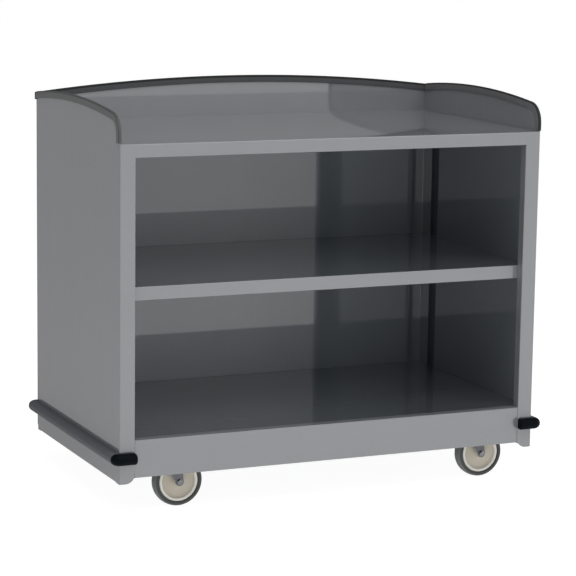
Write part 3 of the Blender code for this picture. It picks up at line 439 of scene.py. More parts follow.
# Painted light and shade: the rims' beads take a much lighter copy of the hub's cream moulding, a painted highlight,
# and the recessed disc the darker one, painted shade.
HUB_MOULDING = moulded("hub_moulding", (0.555, 0.512, 0.418), 0.42, 320.0, 0.06, 0.5, 0.00006)
HIGHLIT_HUB_RIMS = moulded("hub_ring_moulding", (0.86, 0.835, 0.770), 0.36, 320.0, 0.04, 0.5, 0.00005)
ZINC = zinc_plate("zinc_plate", (0.135, 0.136, 0.150))
BOLT_ZINC = zinc_plate("bolt_zinc", (0.24, 0.24, 0.255))

# The finish of a node is the first one whose word is in its name
FINISH_BY_WORD = (("side_panel", STEEL_UPRIGHT), ("back_panel", STEEL_BACK), ("brace", MILL_STEEL),
                  ("shelf_bracket", MILL_STEEL), ("chassis", MILL_STEEL), ("worktop", STEEL_LENGTHWAYS),
                  ("middle_shelf", STEEL_DECKING), ("deck", STEEL_DECKING), ("edge_trim_back", TRIM_BACK),
                  ("edge_trim", TRIM_SIDE), ("bumper_channel", CHANNEL_VINYL), ("bumper_rail", RAIL_VINYL),
                  ("bumper_cap", CAP_VINYL), ("_tyre", TYRE_TREAD_LIT), ("_hub", HUB_MOULDING),
                  ("_kingpin", BOLT_ZINC), ("caster", ZINC))


def finish_of(name):
    return next(finish for word, finish in FINISH_BY_WORD if word in name)


def dress(mesh, *finishes):
    mesh.materials.clear()
    for finish in finishes:
        mesh.materials.append(finish)


def dress_frame():
    for name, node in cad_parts.items():
        dress(node.data, finish_of(name))


# Piece helpers

def shown(name, data):
    thing = bpy.data.objects.new(name, data)
    bpy.context.scene.collection.objects.link(thing)
    return thing


def shown_piece(name, mesh, *finishes):
    piece = shown(name, mesh)
    places = [polygon.material_index for polygon in mesh.polygons]
    dress(mesh, *finishes)
    mesh.polygons.foreach_set("material_index", places)
    return piece


def fit_out(piece, node=None, body="cart"):
    """Put a piece on a body. It stands for the node, if one is named."""
    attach(piece, body)
    if node:
        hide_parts(node)


def smooth(mesh, sharp_angle):
    mesh.shade_smooth()
    mesh.set_sharp_from_angle(angle=math.radians(sharp_angle))


def settled(piece):
    """The piece with its modifiers worked into a plain mesh, and the modifiers gone."""
    evaluated = piece.evaluated_get(bpy.context.evaluated_depsgraph_get())
    mesh = bpy.data.meshes.new_from_object(evaluated)
    old = piece.data
    piece.modifiers.clear()
    piece.data = mesh
    mesh.name = old.name
    bpy.data.meshes.remove(old)
    return piece


def mesh_from(name, work, sharp_angle=38):
    mesh = bpy.data.meshes.new(name)
    work.to_mesh(mesh)
    work.free()
    smooth(mesh, sharp_angle)
    return mesh


def round_edges(piece, width):
    bevel = piece.modifiers.new("rounding", "BEVEL")
    bevel.width = width
    bevel.segments = 2
    bevel.limit_method = "ANGLE"
    bevel.angle_limit = math.radians(50)


def softened_node(node, width, reshape=None):
    """A merged copy of a frame node with rounded edges and true flats, which stands for the node."""
    work = bmesh.new()
    work.from_mesh(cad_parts[node].data)
    bmesh.ops.remove_doubles(work, verts=work.verts, dist=NODE_MERGE)
    bmesh.ops.dissolve_limit(work, angle_limit=math.radians(0.5), verts=work.verts, edges=work.edges)
    if reshape:
        reshape(work)
    name = node + "_finished"
    piece = shown_piece(name, mesh_from(name, work), finish_of(node))
    round_edges(piece, width)
    piece.modifiers.new("even shading", "WEIGHTED_NORMAL").keep_sharp = True
    fit_out(settled(piece), node)


def spread(start, end, steps):
    """Evenly spaced values from start to end, with both in."""
    return [start + (end - start) * step / steps for step in range(steps + 1)]


def arc(centre, radius, start, end, steps):
    """Points on a circle, from a start to an end in degrees."""
    return [(centre[0] + radius * math.cos(angle), centre[1] + radius * math.sin(angle))
            for angle in map(math.radians, spread(start, end, steps))]


def loft(name, rings, caps=True, second=()):
    """Join rings of points into one skin. Strips of the section in second take the second finish."""
    work = bmesh.new()
    rows = [[work.verts.new(point) for point in ring] for ring in rings]
    for row, following in zip(rows, rows[1:]):
        for index in range(len(row)):
            after = (index + 1) % len(row)
            face = work.faces.new((row[index], row[after], following[after], following[index]))
            face.material_index = 1 if index in second else 0
    if caps:
        work.faces.new(list(reversed(rows[0])))
        work.faces.new(rows[-1])
    bmesh.ops.remove_doubles(work, verts=work.verts, dist=MERGE)
    bmesh.ops.dissolve_degenerate(work, edges=work.edges, dist=MERGE)
    bmesh.ops.recalc_face_normals(work, faces=work.faces)
    return mesh_from(name, work)


def turned(name, profile, axis, centre, steps=72, second=()):
    """Turn a closed loop of (radius, place along the axis) about an axis through a centre."""
    rings = []
    for angle in spread(0, 2 * math.pi, steps)[:-1]:
        ring = []
        for radius, along in profile:
            a = radius * math.cos(angle)
            b = radius * math.sin(angle)
            offset = (a, along, b) if axis == "Y" else (a, b, along)
            ring.append(tuple(start + shift for start, shift in zip(centre, offset)))
        rings.append(ring)
    return loft(name, rings + rings[:1], False, second)


# Geometry node trees

def geometry_tree(name, **sockets):
    """A tree with a geometry in and out, and named inputs: its nodes, its inputs and their identifiers."""
    tree = bpy.data.node_groups.new(name, "GeometryNodeTree")
    named = {}
    for label, kind in {"Geometry": "Geometry", **sockets}.items():
        named[label] = tree.interface.new_socket(label, in_out="INPUT", socket_type="NodeSocket" + kind).identifier
    tree.interface.new_socket("Geometry", in_out="OUTPUT", socket_type="NodeSocketGeometry")
    nodes = Nodes(tree)
    return nodes, nodes.add("NodeGroupInput").outputs, named


def section_tree():
    """Runs a closed section along a path, with the upright direction held all the way."""
    nodes, inputs, named = geometry_tree("section_along_path", Section="Object")
    path = nodes.add("GeometryNodeMeshToCurve", {"Mesh": inputs["Geometry"]})
    held = nodes.add("GeometryNodeSetCurveNormal", {"Curve": path.outputs[0], "Normal": (0.0, 0.0, 1.0)}, mode="FREE")
    source = nodes.add("GeometryNodeObjectInfo", {"Object": inputs["Section"]}, transform_space="ORIGINAL")
    outline = nodes.add("GeometryNodeMeshToCurve", {"Mesh": source.outputs["Geometry"]})
    skin = nodes.add("GeometryNodeCurveToMesh", {"Curve": held.outputs[0], "Profile Curve": outline.outputs[0],
                                                 "Fill Caps": True})
    nodes.add("NodeGroupOutput", {"Geometry": skin.outputs[0]})
    return nodes.tree, named


def bolt_tree():
    """Puts a washer and a chamfered hexagon head, pointing down, at every point."""
    nodes, inputs, named = geometry_tree("mounting_bolts", head_radius="Float", head_height="Float",
                                         washer_radius="Float", washer_height="Float", chamfer="Float",
                                         turn_seed="Int")
    washer = nodes.add("GeometryNodeMeshCylinder", {"Vertices": 40, "Radius": inputs["washer_radius"],
                                                    "Depth": inputs["washer_height"]})
    washer_low = nodes.raised(washer.outputs["Mesh"], nodes.math("MULTIPLY", inputs["washer_height"], -0.5))
    head = nodes.add("GeometryNodeMeshCylinder", {"Vertices": 6, "Radius": inputs["head_radius"],
                                                  "Depth": inputs["head_height"]})
    down = nodes.add("ShaderNodeCombineXYZ", {"Z": nodes.math("MULTIPLY", inputs["chamfer"], -1.0)})
    drawn = nodes.add("GeometryNodeExtrudeMesh", {"Mesh": head.outputs["Mesh"],
                                                  "Selection": head.outputs["Bottom"],
                                                  "Offset": down.outputs[0], "Offset Scale": 1.0})
    narrow = nodes.add("GeometryNodeScaleElements", {"Geometry": drawn.outputs["Mesh"],
                                                     "Selection": drawn.outputs["Top"], "Scale": 0.84})
    head_drop = nodes.math("SUBTRACT", nodes.math("MULTIPLY", inputs["head_height"], -0.5), inputs["washer_height"])
    head_low = nodes.raised(narrow.outputs[0], head_drop)
    bolt = nodes.add("GeometryNodeJoinGeometry")
    for half in (washer_low, head_low):
        nodes.feed(bolt.inputs[0], half)
    turn = nodes.add("FunctionNodeRandomValue", {2: 0.0, 3: math.pi, "Seed": inputs["turn_seed"]}, data_type="FLOAT")
    spin = nodes.add("ShaderNodeCombineXYZ", {"Z": turn.outputs[1]})
    placed = nodes.add("GeometryNodeInstanceOnPoints", {"Points": inputs["Geometry"], "Instance": bolt.outputs[0],
                                                        "Rotation": spin.outputs[0]})
    real = nodes.add("GeometryNodeRealizeInstances", {"Geometry": placed.outputs[0]})
    nodes.add("NodeGroupOutput", {"Geometry": real.outputs[0]})
    return nodes.tree, named


def line_mesh(name, points, closed=False):
    """Points with an edge from each to the next."""
    mesh = bpy.data.meshes.new(name)
    edges = [(index, index + 1) for index in range(len(points) - 1)]
    if closed:
        edges.append((len(points) - 1, 0))
    mesh.from_pydata([Vector(point) for point in points], edges, [])
    return mesh


def grown(name, base, tree, named, values, finish, sharp_angle=38):
    """Grow a piece on a base mesh with a geometry tree and turn the result into a plain mesh."""
    piece = shown_piece(name, base, finish)
    modifier = piece.modifiers.new("grow", "NODES")
    modifier.node_group = tree
    for label, value in values.items():
        modifier[named[label]] = value
    mesh = settled(piece).data
    work = bmesh.new()
    work.from_mesh(mesh)
    bmesh.ops.remove_doubles(work, verts=work.verts, dist=MERGE)
    bmesh.ops.recalc_face_normals(work, faces=work.faces)
    work.to_mesh(mesh)
    work.free()
    smooth(mesh, sharp_angle)
    dress(mesh, finish)
    return piece


def section_piece(node, section, path, finish):
    """A piece of one section along a path. The section's pairs are (upwards, outwards)."""
    name = node + "_extrusion"
    flat = line_mesh(name + "_section", [(up, out, 0.0) for up, out in section], True)
    outline = bpy.data.objects.new(name + "_section", flat)
    piece = grown(name, line_mesh(name, path), *SECTION_TREE, {"Section": outline}, finish)
    bpy.data.objects.remove(outline, do_unlink=True)
    fit_out(piece, node)


# Sheets

def rounded_feet(work):
    """Draw each foot's curve out to the wider round that runs from its bottom to the skirt's hem."""
    turn = math.acos(1 - FOOT_CUT / FOOT_ROUND)
    short = FOOT_ROUND * (1 - math.sin(turn))
    for end, inner in ((-1, STILE_EDGE + BEND), (1, STILE_EDGE)):
        def on_curve(vert):
            x, y, z = vert.co
            return (y * end > FEET_BEYOND and inner - FOOT_SLACK < abs(x) < inner + FOOT_CUT + FOOT_SLACK
                    and z < FOOT_BOTTOM + FOOT_CUT + FOOT_SLACK)

        # The curve's own steps, without its edges through the sheet and the short ones
        along = [edge for edge in work.edges if all(on_curve(vert) for vert in edge.verts)
                 and abs(edge.verts[0].co.y - edge.verts[1].co.y) < 0.0002 and edge.calc_length() > 0.001]
        bmesh.ops.subdivide_edges(work, edges=along, cuts=3, use_grid_fill=True)
        for vert in [vert for vert in work.verts if on_curve(vert)]:
            side = math.copysign(1.0, vert.co.x)
            gone = math.atan2(inner + FOOT_CUT - abs(vert.co.x), FOOT_BOTTOM + FOOT_CUT - vert.co.z)
            angle = turn * gone / (math.pi / 2)
            vert.co.x = side * (inner - short + FOOT_ROUND * (1 - math.sin(angle)))
            vert.co.z = FOOT_BOTTOM + FOOT_ROUND * (1 - math.cos(angle))


def cabinet_sheets():
    """The sheets with softened hems and bends, and the braces and channels that hold them."""
    for node in ("side_panel_left", "side_panel_right", "back_panel", "worktop", "middle_shelf", "deck"):
        softened_node(node, SHEET_ROUND, rounded_feet if "side" in node else None)
    for node in ("worktop_brace_front", "worktop_brace_rear", "shelf_brace", "shelf_bracket_left",
                 "shelf_bracket_right", "chassis_channel_left", "chassis_channel_right",
                 "chassis_rail_front", "chassis_rail_rear"):
        softened_node(node, FRAME_ROUND)


def skinned(name, rings, finishes, node=None, body="cart", second=()):
    """A piece lofted through rings and put on its body."""
    fit_out(shown_piece(name, loft(name, rings, second=second), *finishes), node, body)


def ground_welds():
    """Weld metal, ground flush, where the worktop's front edge meets each stile."""
    bottom = WORKTOP_HEIGHT - WORKTOP_DROP
    lower = arc((bottom + BEND, BEND), BEND, 180, 270, 8)
    upper = [(WORKTOP_HEIGHT - (height - bottom), back) for height, back in reversed(lower)]
    outline = arc((STILE_EDGE + BEND, BEND), BEND, 270, 210, 6)
    outline = [(STILE_EDGE - GAP, 0.0)] + outline + [(STILE_EDGE - GAP, SHEET)]
    for hand, side in HANDS:
        rings = [[(side * x, -HALF_DEPTH + y + back, height) for x, y in outline] for height, back in lower + upper]
        skinned("ground_weld_" + hand, rings, [GROUND_STEEL])


def add_painted_shade_strips():
    """Painted shade: a dark strip up each side wall near the back, above and below the shelf, with eased edges."""
    inner = HALF_WIDTH - SHEET
    for hand, side in HANDS:
        for level, bottom, top in (("lower", DECK_HEIGHT + STRIP_GAP, SHELF_HEIGHT - SHELF_DROP - STRIP_GAP),
                                   ("upper", SHELF_HEIGHT + STRIP_GAP, WORKTOP_HEIGHT - WORKTOP_DROP - STRIP_GAP)):
            rings = []
            for height, ease in ((bottom, STRIP_EASE), (bottom + STRIP_EASE_UP, 0.0),
                                 (top - STRIP_EASE_UP, 0.0), (top, STRIP_EASE)):
                face = STRIP_SHEET - ease
                side_face = face - STRIP_EASE_IN
                outline = ((0.0, STRIP_REAR), (side_face, STRIP_REAR), (face, STRIP_REAR - STRIP_EASE),
                           (face, STRIP_FRONT + STRIP_EASE), (side_face, STRIP_FRONT), (0.0, STRIP_FRONT))
                rings.append([(side * (inner - x), y, height) for x, y in outline])
            skinned(f"wall_strip_{level}_{hand}", rings, [SHADE_STRIP_FINISH])


# Edge trim

def trim_section():
    """The trim's section as (sideways, depth under its outer face), round its slot."""
    half = TRIM_WIDTH / 2
    slot = SHEET / 2 + GAP
    crown = [(x, half - y) for x, y in arc((0.0, 0.0), half, 0, 180, CROWN_STEPS)]
    lips = arc((-half + TRIM_LIP, TRIM_LIP), TRIM_LIP, 180, 270, 5)
    lips += arc((-slot - TRIM_LIP, TRIM_LIP), TRIM_LIP, 270, 360, 5)
    left = [(-half, CROWN_DEPTH)] + [(x, TRIM_DEPTH - y) for x, y in lips]
    right = [(-x, depth) for x, depth in reversed(left)]
    return crown + left + [(-slot, TRIM_SLOT_TOP), (slot, TRIM_SLOT_TOP)] + right


def side_trims():
    """Trim over each side gallery, from the rear corner round the front corner to the worktop."""
    front = -HALF_DEPTH + GAP
    corner_y = front + CORNER_RADIUS
    middle_z = SIDE_PEAK - SIDE_RADIUS
    reach = SIDE_RADIUS - CORNER_RADIUS
    corner_z = middle_z + math.sqrt(reach ** 2 - (corner_y - SIDE_SHIFT) ** 2)
    meet = math.atan2(corner_z - middle_z, corner_y - SIDE_SHIFT)
    rear = math.acos((TRIM_REAR_END - SIDE_SHIFT) / SIDE_RADIUS)
    line = []
    for y, z, radius, angles in ((SIDE_SHIFT, middle_z, SIDE_RADIUS, spread(rear, meet, 60)[:-1]),
                                 (corner_y, corner_z, CORNER_RADIUS, spread(meet, math.pi, 28))):
        for angle in angles:
            out_y, out_z = math.cos(angle), math.sin(angle)
            line.append((y + radius * out_y, z + radius * out_z, out_y, out_z))
    line[0] = (line[0][0], line[0][1], 0.0, 1.0)
    line.append((front, TRIM_FRONT_END, -1.0, 0.0))
    section = trim_section()
    for hand, side in HANDS:
        middle = side * (HALF_WIDTH - SHEET / 2)
        rings = [[(middle + sideways, y - out_y * depth, z - out_z * depth) for sideways, depth in section]
                 for y, z, out_y, out_z in line]
        name = "edge_trim_" + hand
        # The crown takes the darker vinyl, a painted shade.
        skinned(name + "_extrusion", rings, [TRIM_SIDE, TRIM_CROWN_SHADE_SIDE[hand]], name,
                second=range(CROWN_STEPS))


def back_trim():
    """Trim over the back gallery's arch, past both side panels and cut square at both ends."""
    reach = HALF_WIDTH - SHEET / 2 + TRIM_WIDTH / 2
    section = trim_section()
    rings = []
    for x in spread(-reach, reach, 96):
        top = BACK_PEAK - BACK_RADIUS + math.sqrt(BACK_RADIUS ** 2 - x ** 2)
        rings.append([(x, TRIM_BACK_Y + sideways, top - depth) for sideways, depth in section])
    crown = list(range(CROWN_STEPS + 1)) + [len(section) - 1]
    # The crown takes the darkest vinyl, a painted shade.
    skinned("edge_trim_back_extrusion", rings, [TRIM_BACK, TRIM_CROWN_SHADE_BACK], "edge_trim_back",
            second=crown)


# Bumper

def rail_section():
    """Half-round rail as (height, depth), with a shallow flute drawn along its face."""
    half = BUMPER_HEIGHT / 2
    centre = BUMPER_DEPTH - half
    start = CHANNEL_DEPTH + GAP
    tongue_top = half - CHANNEL_WALL - CHANNEL_LIP - 2 * GAP
    tongue_low = tongue_top - RAIL_TONGUE
    tongue_end = 2 * GAP + CHANNEL_WALL

    def face(radius, degrees):
        angle = math.radians(degrees)
        return (radius * math.sin(angle), centre + radius * math.cos(angle))

    first = math.degrees(math.acos((start - centre) / half))
    outer = [face(half - RAIL_GROOVE * math.exp(-((degrees - RAIL_GROOVE_AT) / RAIL_GROOVE_SPREAD) ** 2), degrees)
             for degrees in spread(first, -first, 60)]
    foot = [(-tongue_top, start), (-tongue_top, tongue_end), (-tongue_low, tongue_end)]
    inner = half - RAIL_WALL
    first = math.degrees(math.asin(tongue_low / inner))
    hollow = [face(inner, degrees) for degrees in spread(-first, first, 24)]
    return outer + foot + hollow + [(-height, depth) for height, depth in reversed(foot)]


def channel_section():
    """Channel on the side panel as (height, depth), with the lips that hold the rail."""
    top = BUMPER_HEIGHT / 2 - GAP
    wall = CHANNEL_WALL
    lip = top - wall - CHANNEL_LIP
    half = [(top, GAP), *arc((top - CHANNEL_ROUND, CHANNEL_DEPTH - CHANNEL_ROUND), CHANNEL_ROUND, 0, 90, 4),
            (lip, CHANNEL_DEPTH), (lip, CHANNEL_DEPTH - wall), (top - wall, CHANNEL_DEPTH - wall),
            (top - wall, GAP + wall)]
    return half + [(-height, depth) for height, depth in reversed(half)]


def bumper_rails():
    for hand, side in HANDS:
        path = [(side * HALF_WIDTH, side * y, BUMPER_LEVEL) for y in spread(-HALF_DEPTH, HALF_DEPTH, 8)]
        section_piece("bumper_rail_" + hand, rail_section(), path, RAIL_VINYL)
        section_piece("bumper_channel_" + hand, channel_section(), path, CHANNEL_VINYL)


def bumper_caps():
    """Corner caps: a spigot in the rail, a quarter turn and a leg with a round end across the stile."""
    half = BUMPER_HEIGHT / 2
    middle = BUMPER_DEPTH / 2
    flat = BUMPER_DEPTH - half - GAP
    edge = CAP_EDGE_RADIUS
    outer = arc((edge, half - edge), edge, 180, 90, 3)
    outer += arc((flat, 0.0), half, 90, -90, 36)
    outer += arc((edge, -half + edge), edge, 270, 180, 3)
    spigot_low = half - CHANNEL_WALL - CHANNEL_LIP - 3 * GAP - RAIL_TONGUE
    spigot_radius = half - RAIL_WALL - GAP
    turn = math.degrees(math.asin(spigot_low / spigot_radius))
    back = CHANNEL_WALL + 2 * GAP
    spigot = arc((flat, 0.0), spigot_radius, turn, -turn, len(outer) - 3)
    spigot = [(back, spigot_low)] + spigot + [(back, -spigot_low)]
    corner_x = HALF_WIDTH + GAP
    corner_y = HALF_DEPTH + GAP

    def ring(section, x, y, degrees, shrink=0.0):
        """A section stood up at a place, turned, and drawn in toward its middle by shrink."""
        out_x = math.cos(math.radians(degrees))
        out_y = math.sin(math.radians(degrees))
        share = 1.0 - shrink / half
        points = []
        for depth, height in section:
            deep = middle + (depth - middle) * share if depth > middle else depth
            points.append((x + deep * out_x, y + deep * out_y, BUMPER_LEVEL + height * share))
        return points

    rings = [ring(spigot, corner_x, corner_y - CAP_SPIGOT, 0), ring(spigot, corner_x, corner_y, 0)]
    rings += [ring(outer, corner_x, corner_y, degrees) for degrees in spread(0, 90, 24)]
    for inward, shrink in arc((CAP_END_RADIUS, CAP_END_RADIUS), CAP_END_RADIUS, 270, 180, 8):
        rings.append(ring(outer, STILE_EDGE + inward, corner_y, 90, shrink))
    for hand, side in HANDS:
        for level, end in (("front", -1), ("rear", 1)):
            name = f"bumper_cap_{level}_{hand}"
            skinned(name + "_moulding", [[(side * x, end * y, z) for x, y, z in points] for points in rings],
                    [CAP_VINYL], name)


# Casters

def tyre_profile():
    """Crowned tread with a fine parting line, round shoulders and flat walls that step down at the hub."""
    half = [(WHEEL_RADIUS - TREAD_DROP * (along / TREAD_HALF) ** 2, along) for along in spread(0, TREAD_HALF, 10)]
    half[0] = (WHEEL_RADIUS - PARTING_LINE, 0.0)
    half += arc((WHEEL_RADIUS - TREAD_DROP - SHOULDER, TREAD_HALF), SHOULDER, 10, 90, 10)
    half += [(HUB_RADIUS + 0.0022, TYRE_HALF), (HUB_RADIUS + 0.0016, TYRE_HALF - 0.0006),
             (HUB_RADIUS, TYRE_HALF - 0.0008)]
    return half + [(radius, -along) for radius, along in reversed(half[1:])]


def hub_profile():
    """Recessed disc between two rounded rims, with a boss that the sleeve runs through."""
    disc = HUB_HALF - DISC_RECESS
    bead = HUB_BEAD / 2
    half = arc((HUB_RADIUS - GAP - bead, HUB_HALF - bead), bead, 0, 180, RIM_STEPS)
    half += [(HUB_RADIUS - HUB_BEAD - GAP, disc + 0.0008), (HUB_RADIUS - HUB_BEAD - 0.0012, disc),
             (0.0330, disc - 0.0006), (0.0200, disc - 0.0002), (BOSS_RADIUS + 0.0020, disc),
             (BOSS_RADIUS + 0.0006, disc + 0.0008), (BOSS_RADIUS, BOSS_HALF - 0.0010),
             (BOSS_RADIUS - 0.0010, BOSS_HALF), (BORE_RADIUS + 0.0006, BOSS_HALF),
             (BORE_RADIUS, BOSS_HALF - 0.0006)]
    return half + [(radius, -along) for radius, along in reversed(half)]


def leg_edge(height, side):
    """The fork leg's rear (-1) or front (1) edge at a height."""
    if height < WHEEL_RADIUS:
        return TRAIL + side * math.sqrt(max(0.0, FORK_END ** 2 - (height - WHEEL_RADIUS) ** 2))
    top, flare = (YOKE_FRONT, FRONT_FLARE) if side > 0 else (YOKE_REAR, REAR_FLARE)
    bottom = TRAIL + side * FORK_END
    share = (height - WHEEL_RADIUS) / (FORK_TOP - FORK_BEND - WHEEL_RADIUS)
    return (1 - share) ** 2 * bottom + 2 * share * (1 - share) * (bottom - flare) + share ** 2 * top


def fork_mesh(name, centre):
    """Pressed fork: a strip that runs up one leg, over the yoke and down the other."""
    root = FORK_TOP - FORK_BEND
    heights = [WHEEL_RADIUS - FORK_END * math.sin(math.radians(degrees)) for degrees in spread(86, 0, 14)[:-1]]
    heights += spread(WHEEL_RADIUS, root, 18)
    rows = [(LEG_OUTSIDE, height, leg_edge(height, -1), leg_edge(height, 1)) for height in heights]
    rows += [(y, z, YOKE_REAR, YOKE_FRONT)
             for y, z in arc((LEG_OUTSIDE - FORK_BEND, root), FORK_BEND, 0, 90, 8)[1:]]
    rows += [(-y, z, rear, front) for y, z, rear, front in reversed(rows)]
    work = bmesh.new()
    made = [[work.verts.new((centre[0] + rear + (front - rear) * share, centre[1] + y, z))
             for share in (0.0, 0.08, 0.5, 0.92, 1.0)] for y, z, rear, front in rows]
    for row, following in zip(made, made[1:]):
        for index in range(4):
            work.faces.new((row[index], row[index + 1], following[index + 1], following[index]))
    bmesh.ops.recalc_face_normals(work, faces=work.faces)
    top = max(work.faces, key=lambda face: face.calc_center_median().z)
    if top.normal.z < 0:
        bmesh.ops.reverse_faces(work, faces=work.faces)
    return mesh_from(name, work, 60)


def caster_fork(corner, centre):
    name = f"caster_{corner}_fork"
    piece = shown_piece(name + "_pressing", fork_mesh(name + "_pressing", centre), ZINC)
    wall = piece.modifiers.new("wall", "SOLIDIFY")
    wall.thickness = FORK_SHEET
    wall.offset = -1.0
    wall.use_even_offset = True
    round_edges(piece, FORK_ROUND)
    smooth(settled(piece).data, 45)
    fit_out(piece, name, f"caster_{corner}_swivel")


def hexagon_ring(radius, count):
    """A hexagon's outline with count points, the first corner straight up."""
    points = []
    for angle in spread(0, 2 * math.pi, count)[:-1]:
        local = (angle % (math.pi / 3)) - math.pi / 6
        reach = radius * math.cos(math.pi / 6) / math.cos(local)
        points.append((reach * math.sin(angle), reach * math.cos(angle)))
    return points


def axle_bolt(corner, axle):
    """Hexagon head and washer in front, nut, washer and thread end behind, and the shank between."""
    count = 48
    face = LEG_OUTSIDE + GAP
    seat = face + WASHER
    tip = face + HEAD_HEIGHT
    hexagon = hexagon_ring(HEAD_RADIUS * 0.92, count)
    circle = [(math.sin(angle), math.cos(angle)) for angle in spread(0, 2 * math.pi, count)[:-1]]
    stations = [(circle, 0.0020, -tip + 0.0006), (circle, HEAD_RADIUS * 0.60, -tip + 0.0004),
                (circle, HEAD_RADIUS * 0.66, -tip), (circle, HEAD_RADIUS * 0.74, -tip),
                (hexagon, 0.97, -tip + 0.0007), (hexagon, 1.0, -tip + 0.0012), (hexagon, 1.0, -seat),
                (circle, HEAD_RADIUS - 0.0002, -seat), (circle, HEAD_RADIUS, -seat + 0.0002),
                (circle, HEAD_RADIUS, -face), (circle, AXLE_RADIUS, -face), (circle, AXLE_RADIUS, face),
                (circle, HEAD_RADIUS, face), (circle, HEAD_RADIUS, seat), (hexagon, 1.0, seat),
                (hexagon, 1.0, tip - 0.0010), (hexagon, 0.96, tip - 0.0005), (circle, HEAD_RADIUS * 0.72, tip)]
    stations += [(circle, AXLE_RADIUS - (0.0003 if step % 2 else 0.0), tip + AXLE_END * (step + 1) / 7)
                 for step in range(6)]
    stations.append((circle, AXLE_RADIUS - 0.0008, tip + AXLE_END))
    rings = [[(axle[0] + x * scale, axle[1] + along, axle[2] + z * scale) for x, z in outline]
             for outline, scale, along in stations]
    name = f"caster_{corner}_axle"
    skinned(name + "_bolt", rings, [BOLT_ZINC], name, f"caster_{corner}_swivel")


def caster_top(corner, centre):
    """The swivel's bearing ring with a rolled lip, and the plate and kingpin over it."""
    name = f"caster_{corner}_bearing"
    low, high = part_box(name)
    bottom, top = low[2], high[2]
    profile = [(RING_INNER, bottom), (RING_OUTER - 0.0040, bottom)]
    profile += arc((RING_OUTER - RING_LIP, bottom + RING_LIP), RING_LIP, 270, 360, 6)
    profile += arc((RING_OUTER - RING_ROUND, top - RING_ROUND), RING_ROUND, 0, 90, 6)
    profile += [(RING_INNER + 0.0010, top), (RING_INNER, top - 0.0008)]
    mesh = turned(name + "_ring", profile, "Z", (*centre, 0.0))
    fit_out(shown_piece(name + "_ring", mesh, ZINC), name, f"caster_{corner}_swivel")
    softened_node(f"caster_{corner}_plate", PLATE_ROUND)
    softened_node(f"caster_{corner}_kingpin", PLATE_ROUND)


def casters():
    tyre = tyre_profile()
    walls = [index for index, (_, along) in enumerate(tyre) if abs(along) > TYRE_WALL_FROM]
    hub = hub_profile()
    rims = [index for index in range(len(hub)) if index < RIM_STEPS or index >= len(hub) - RIM_STEPS - 1]
    for corner, side, end in CORNERS:
        centre = (side * CASTER_X, end * CASTER_Y)
        axle = (centre[0] + TRAIL, centre[1], WHEEL_RADIUS)
        # Tread and walls, and rims and disc, take lit and shaded copies of one material: painted light and shade.
        for slot, profile, second, finishes in (("tyre", tyre, walls, (TYRE_TREAD_LIT, TYRE_WALL_SHADED)),
                                                ("hub", hub, rims, (HUB_MOULDING, HIGHLIT_HUB_RIMS))):
            name = f"caster_{corner}_{slot}"
            mesh = turned(name + "_moulding", profile, "Y", axle, WHEEL_STEPS, second)
            fit_out(shown_piece(name + "_moulding", mesh, *finishes), name, f"caster_{corner}_wheel")
        caster_fork(corner, centre)
        axle_bolt(corner, axle)
        caster_top(corner, centre)


def mounting_bolts():
    """Four bolts up through every caster plate, all on the cart's own body."""
    points = [(side * CASTER_X + across * PLATE_HOLE_X, end * CASTER_Y + along * PLATE_HOLE_Y,
               PLATE_BOTTOM - BOLT_GAP) for _, side, end in CORNERS for across in (-1, 1) for along in (-1, 1)]
    values = {"head_radius": 0.0066, "head_height": 0.0032, "washer_radius": 0.0078, "washer_height": 0.0009,
              "chamfer": 0.0008, "turn_seed": 7}
    base = bpy.data.meshes.new("mounting_bolts")
    base.from_pydata([Vector(point) for point in points], [], [])
    fit_out(grown("mounting_bolts", base, *bolt_tree(), values, BOLT_ZINC, 30))


# Studio

FLOOR_RADIUS = 80.0
FLOOR_SEEN = 0.93
FLOOR_FRONT = 0.95
FLOOR_REAR = 0.36
FLOOR_CHANGES = (-0.6, 0.2)
FLOOR_ALBEDO = 0.30
SKY_LOW = (0.15, 0.40)
SKY_HIGH = (0.55, 0.80)
SKY_FRONT = (0.55, 0.61)
SKY_LEFT = (0.40, 0.55)
SKY_RIGHT = (1.90, 0.10)
SKY_REAR = (0.20, 0.20)
SKY_TOP = 0.05
LAMPS = (("soft_right_lamp", (1.6, -2.8, 4.2), (0.0, 0.0, 0.8), (3.0, 3.0), 66.0),
         ("soft_left_lamp", (-0.9, -1.7, 4.6), (0.0, 0.0, 0.8), (3.0, 3.0), 108.0))


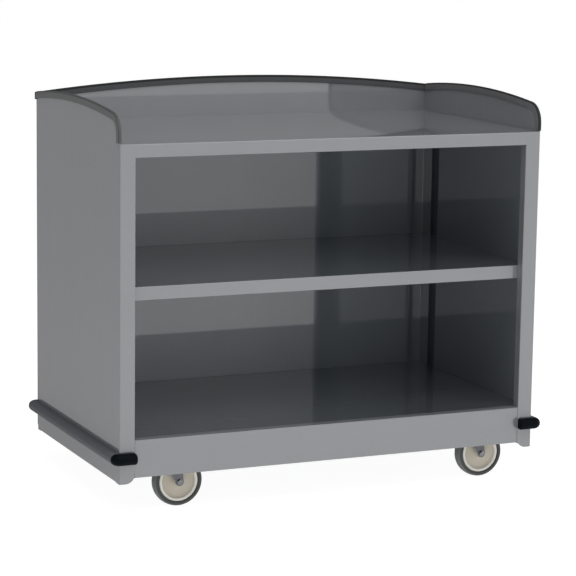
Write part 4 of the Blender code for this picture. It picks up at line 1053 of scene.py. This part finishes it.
def studio_world():
    """A soft surround with its own level low down and halfway up on each side, and one overhead.

    The camera sees it white, as the photograph's background is.
    """
    world = bpy.data.worlds.new("studio")
    bpy.context.scene.world = world
    world.use_nodes = True
    nodes = Nodes(world.node_tree)
    direction = nodes.add("ShaderNodeTexCoord").outputs["Generated"]
    parts = nodes.add("ShaderNodeSeparateXYZ", {"Vector": direction}).outputs
    flat = nodes.add("ShaderNodeCombineXYZ", {"X": parts["X"], "Y": parts["Y"]})
    heading = nodes.add("ShaderNodeVectorMath", {0: flat.outputs[0]}, operation="NORMALIZE").outputs[0]
    way = nodes.add("ShaderNodeSeparateXYZ", {"Vector": heading}).outputs
    low = nodes.ranged(parts["Z"], *SKY_LOW, 1.0, 0.0, True)
    upto = nodes.ranged(parts["Z"], *SKY_HIGH, 1.0, 0.0, True)
    middle = nodes.math("SUBTRACT", upto, low)
    level = nodes.math("MULTIPLY", nodes.math("SUBTRACT", 1.0, upto), SKY_TOP)
    for axis, sign, pair in (("Y", -1.0, SKY_FRONT), ("X", -1.0, SKY_LEFT), ("X", 1.0, SKY_RIGHT),
                             ("Y", 1.0, SKY_REAR)):
        toward = nodes.math("MAXIMUM", nodes.math("MULTIPLY", way[axis], sign), 0.0)
        bands = nodes.weighted((low, pair[0]), (middle, pair[1]))
        level = nodes.math("ADD", level, nodes.math("MULTIPLY", toward, toward, bands))
    level = nodes.math("MAXIMUM", level, nodes.add("ShaderNodeLightPath").outputs["Is Camera Ray"])
    background = nodes.add("ShaderNodeBackground", {"Color": level, "Strength": 1.0})
    nodes.add("ShaderNodeOutputWorld", {"Surface": background.outputs[0]})


def floor():
    """A pale floor that keeps the shadow under the cart."""
    work = bmesh.new()
    bmesh.ops.create_circle(work, cap_ends=True, segments=64, radius=FLOOR_RADIUS)
    mesh = bpy.data.meshes.new("floor")
    work.to_mesh(mesh)
    work.free()
    made = bpy.data.materials.new("pale_floor")
    made.use_nodes = True
    nodes = Nodes(made.node_tree)
    colour = nodes.mixed(nodes.noise(6.0), grey(FLOOR_ALBEDO - 0.01), grey(FLOOR_ALBEDO + 0.01))
    diffuse = nodes.add("ShaderNodeBsdfDiffuse", {"Color": colour})
    seen = nodes.add("ShaderNodeLightPath").outputs["Is Camera Ray"]
    lit = nodes.ranged(nodes.spot()["Y"], *FLOOR_CHANGES, FLOOR_FRONT, FLOOR_REAR, True)
    level = nodes.weighted((seen, FLOOR_SEEN), (nodes.math("SUBTRACT", 1.0, seen), lit))
    glow = nodes.add("ShaderNodeEmission", {"Color": grey(1.0), "Strength": level})
    both = nodes.add("ShaderNodeAddShader", {0: diffuse.outputs[0], 1: glow.outputs[0]})
    nodes.add("ShaderNodeOutputMaterial", {"Surface": both.outputs[0]})
    mesh.materials.append(made)
    shown("floor", mesh)


def area_lamp(name, place, aim, size, watts):
    data = bpy.data.lights.new(name, "AREA")
    data.shape = "RECTANGLE"
    data.size, data.size_y = size
    data.energy = watts
    lamp = shown(name, data)
    lamp.location = place
    lamp.rotation_euler = (Vector(aim) - Vector(place)).to_track_quat("-Z", "Y").to_euler()


def camera():
    data = bpy.data.cameras.new("camera")
    data.sensor_width = CAMERA_SENSOR
    data.lens = CAMERA_LENS
    data.clip_end = CAMERA_REACH
    eye = shown("camera", data)
    eye.location = CAMERA_PLACE
    eye.rotation_euler = [math.radians(angle) for angle in CAMERA_TURN_DEG]
    bpy.context.scene.camera = eye


SECTION_TREE = section_tree()

dress_frame()
cabinet_sheets()
ground_welds()
add_painted_shade_strips()
side_trims()
back_trim()
bumper_rails()
bumper_caps()
casters()
mounting_bolts()
studio_world()
floor()
for lamp in LAMPS:
    area_lamp(*lamp)
camera()
bpy.context.scene.view_settings.view_transform = "Standard"
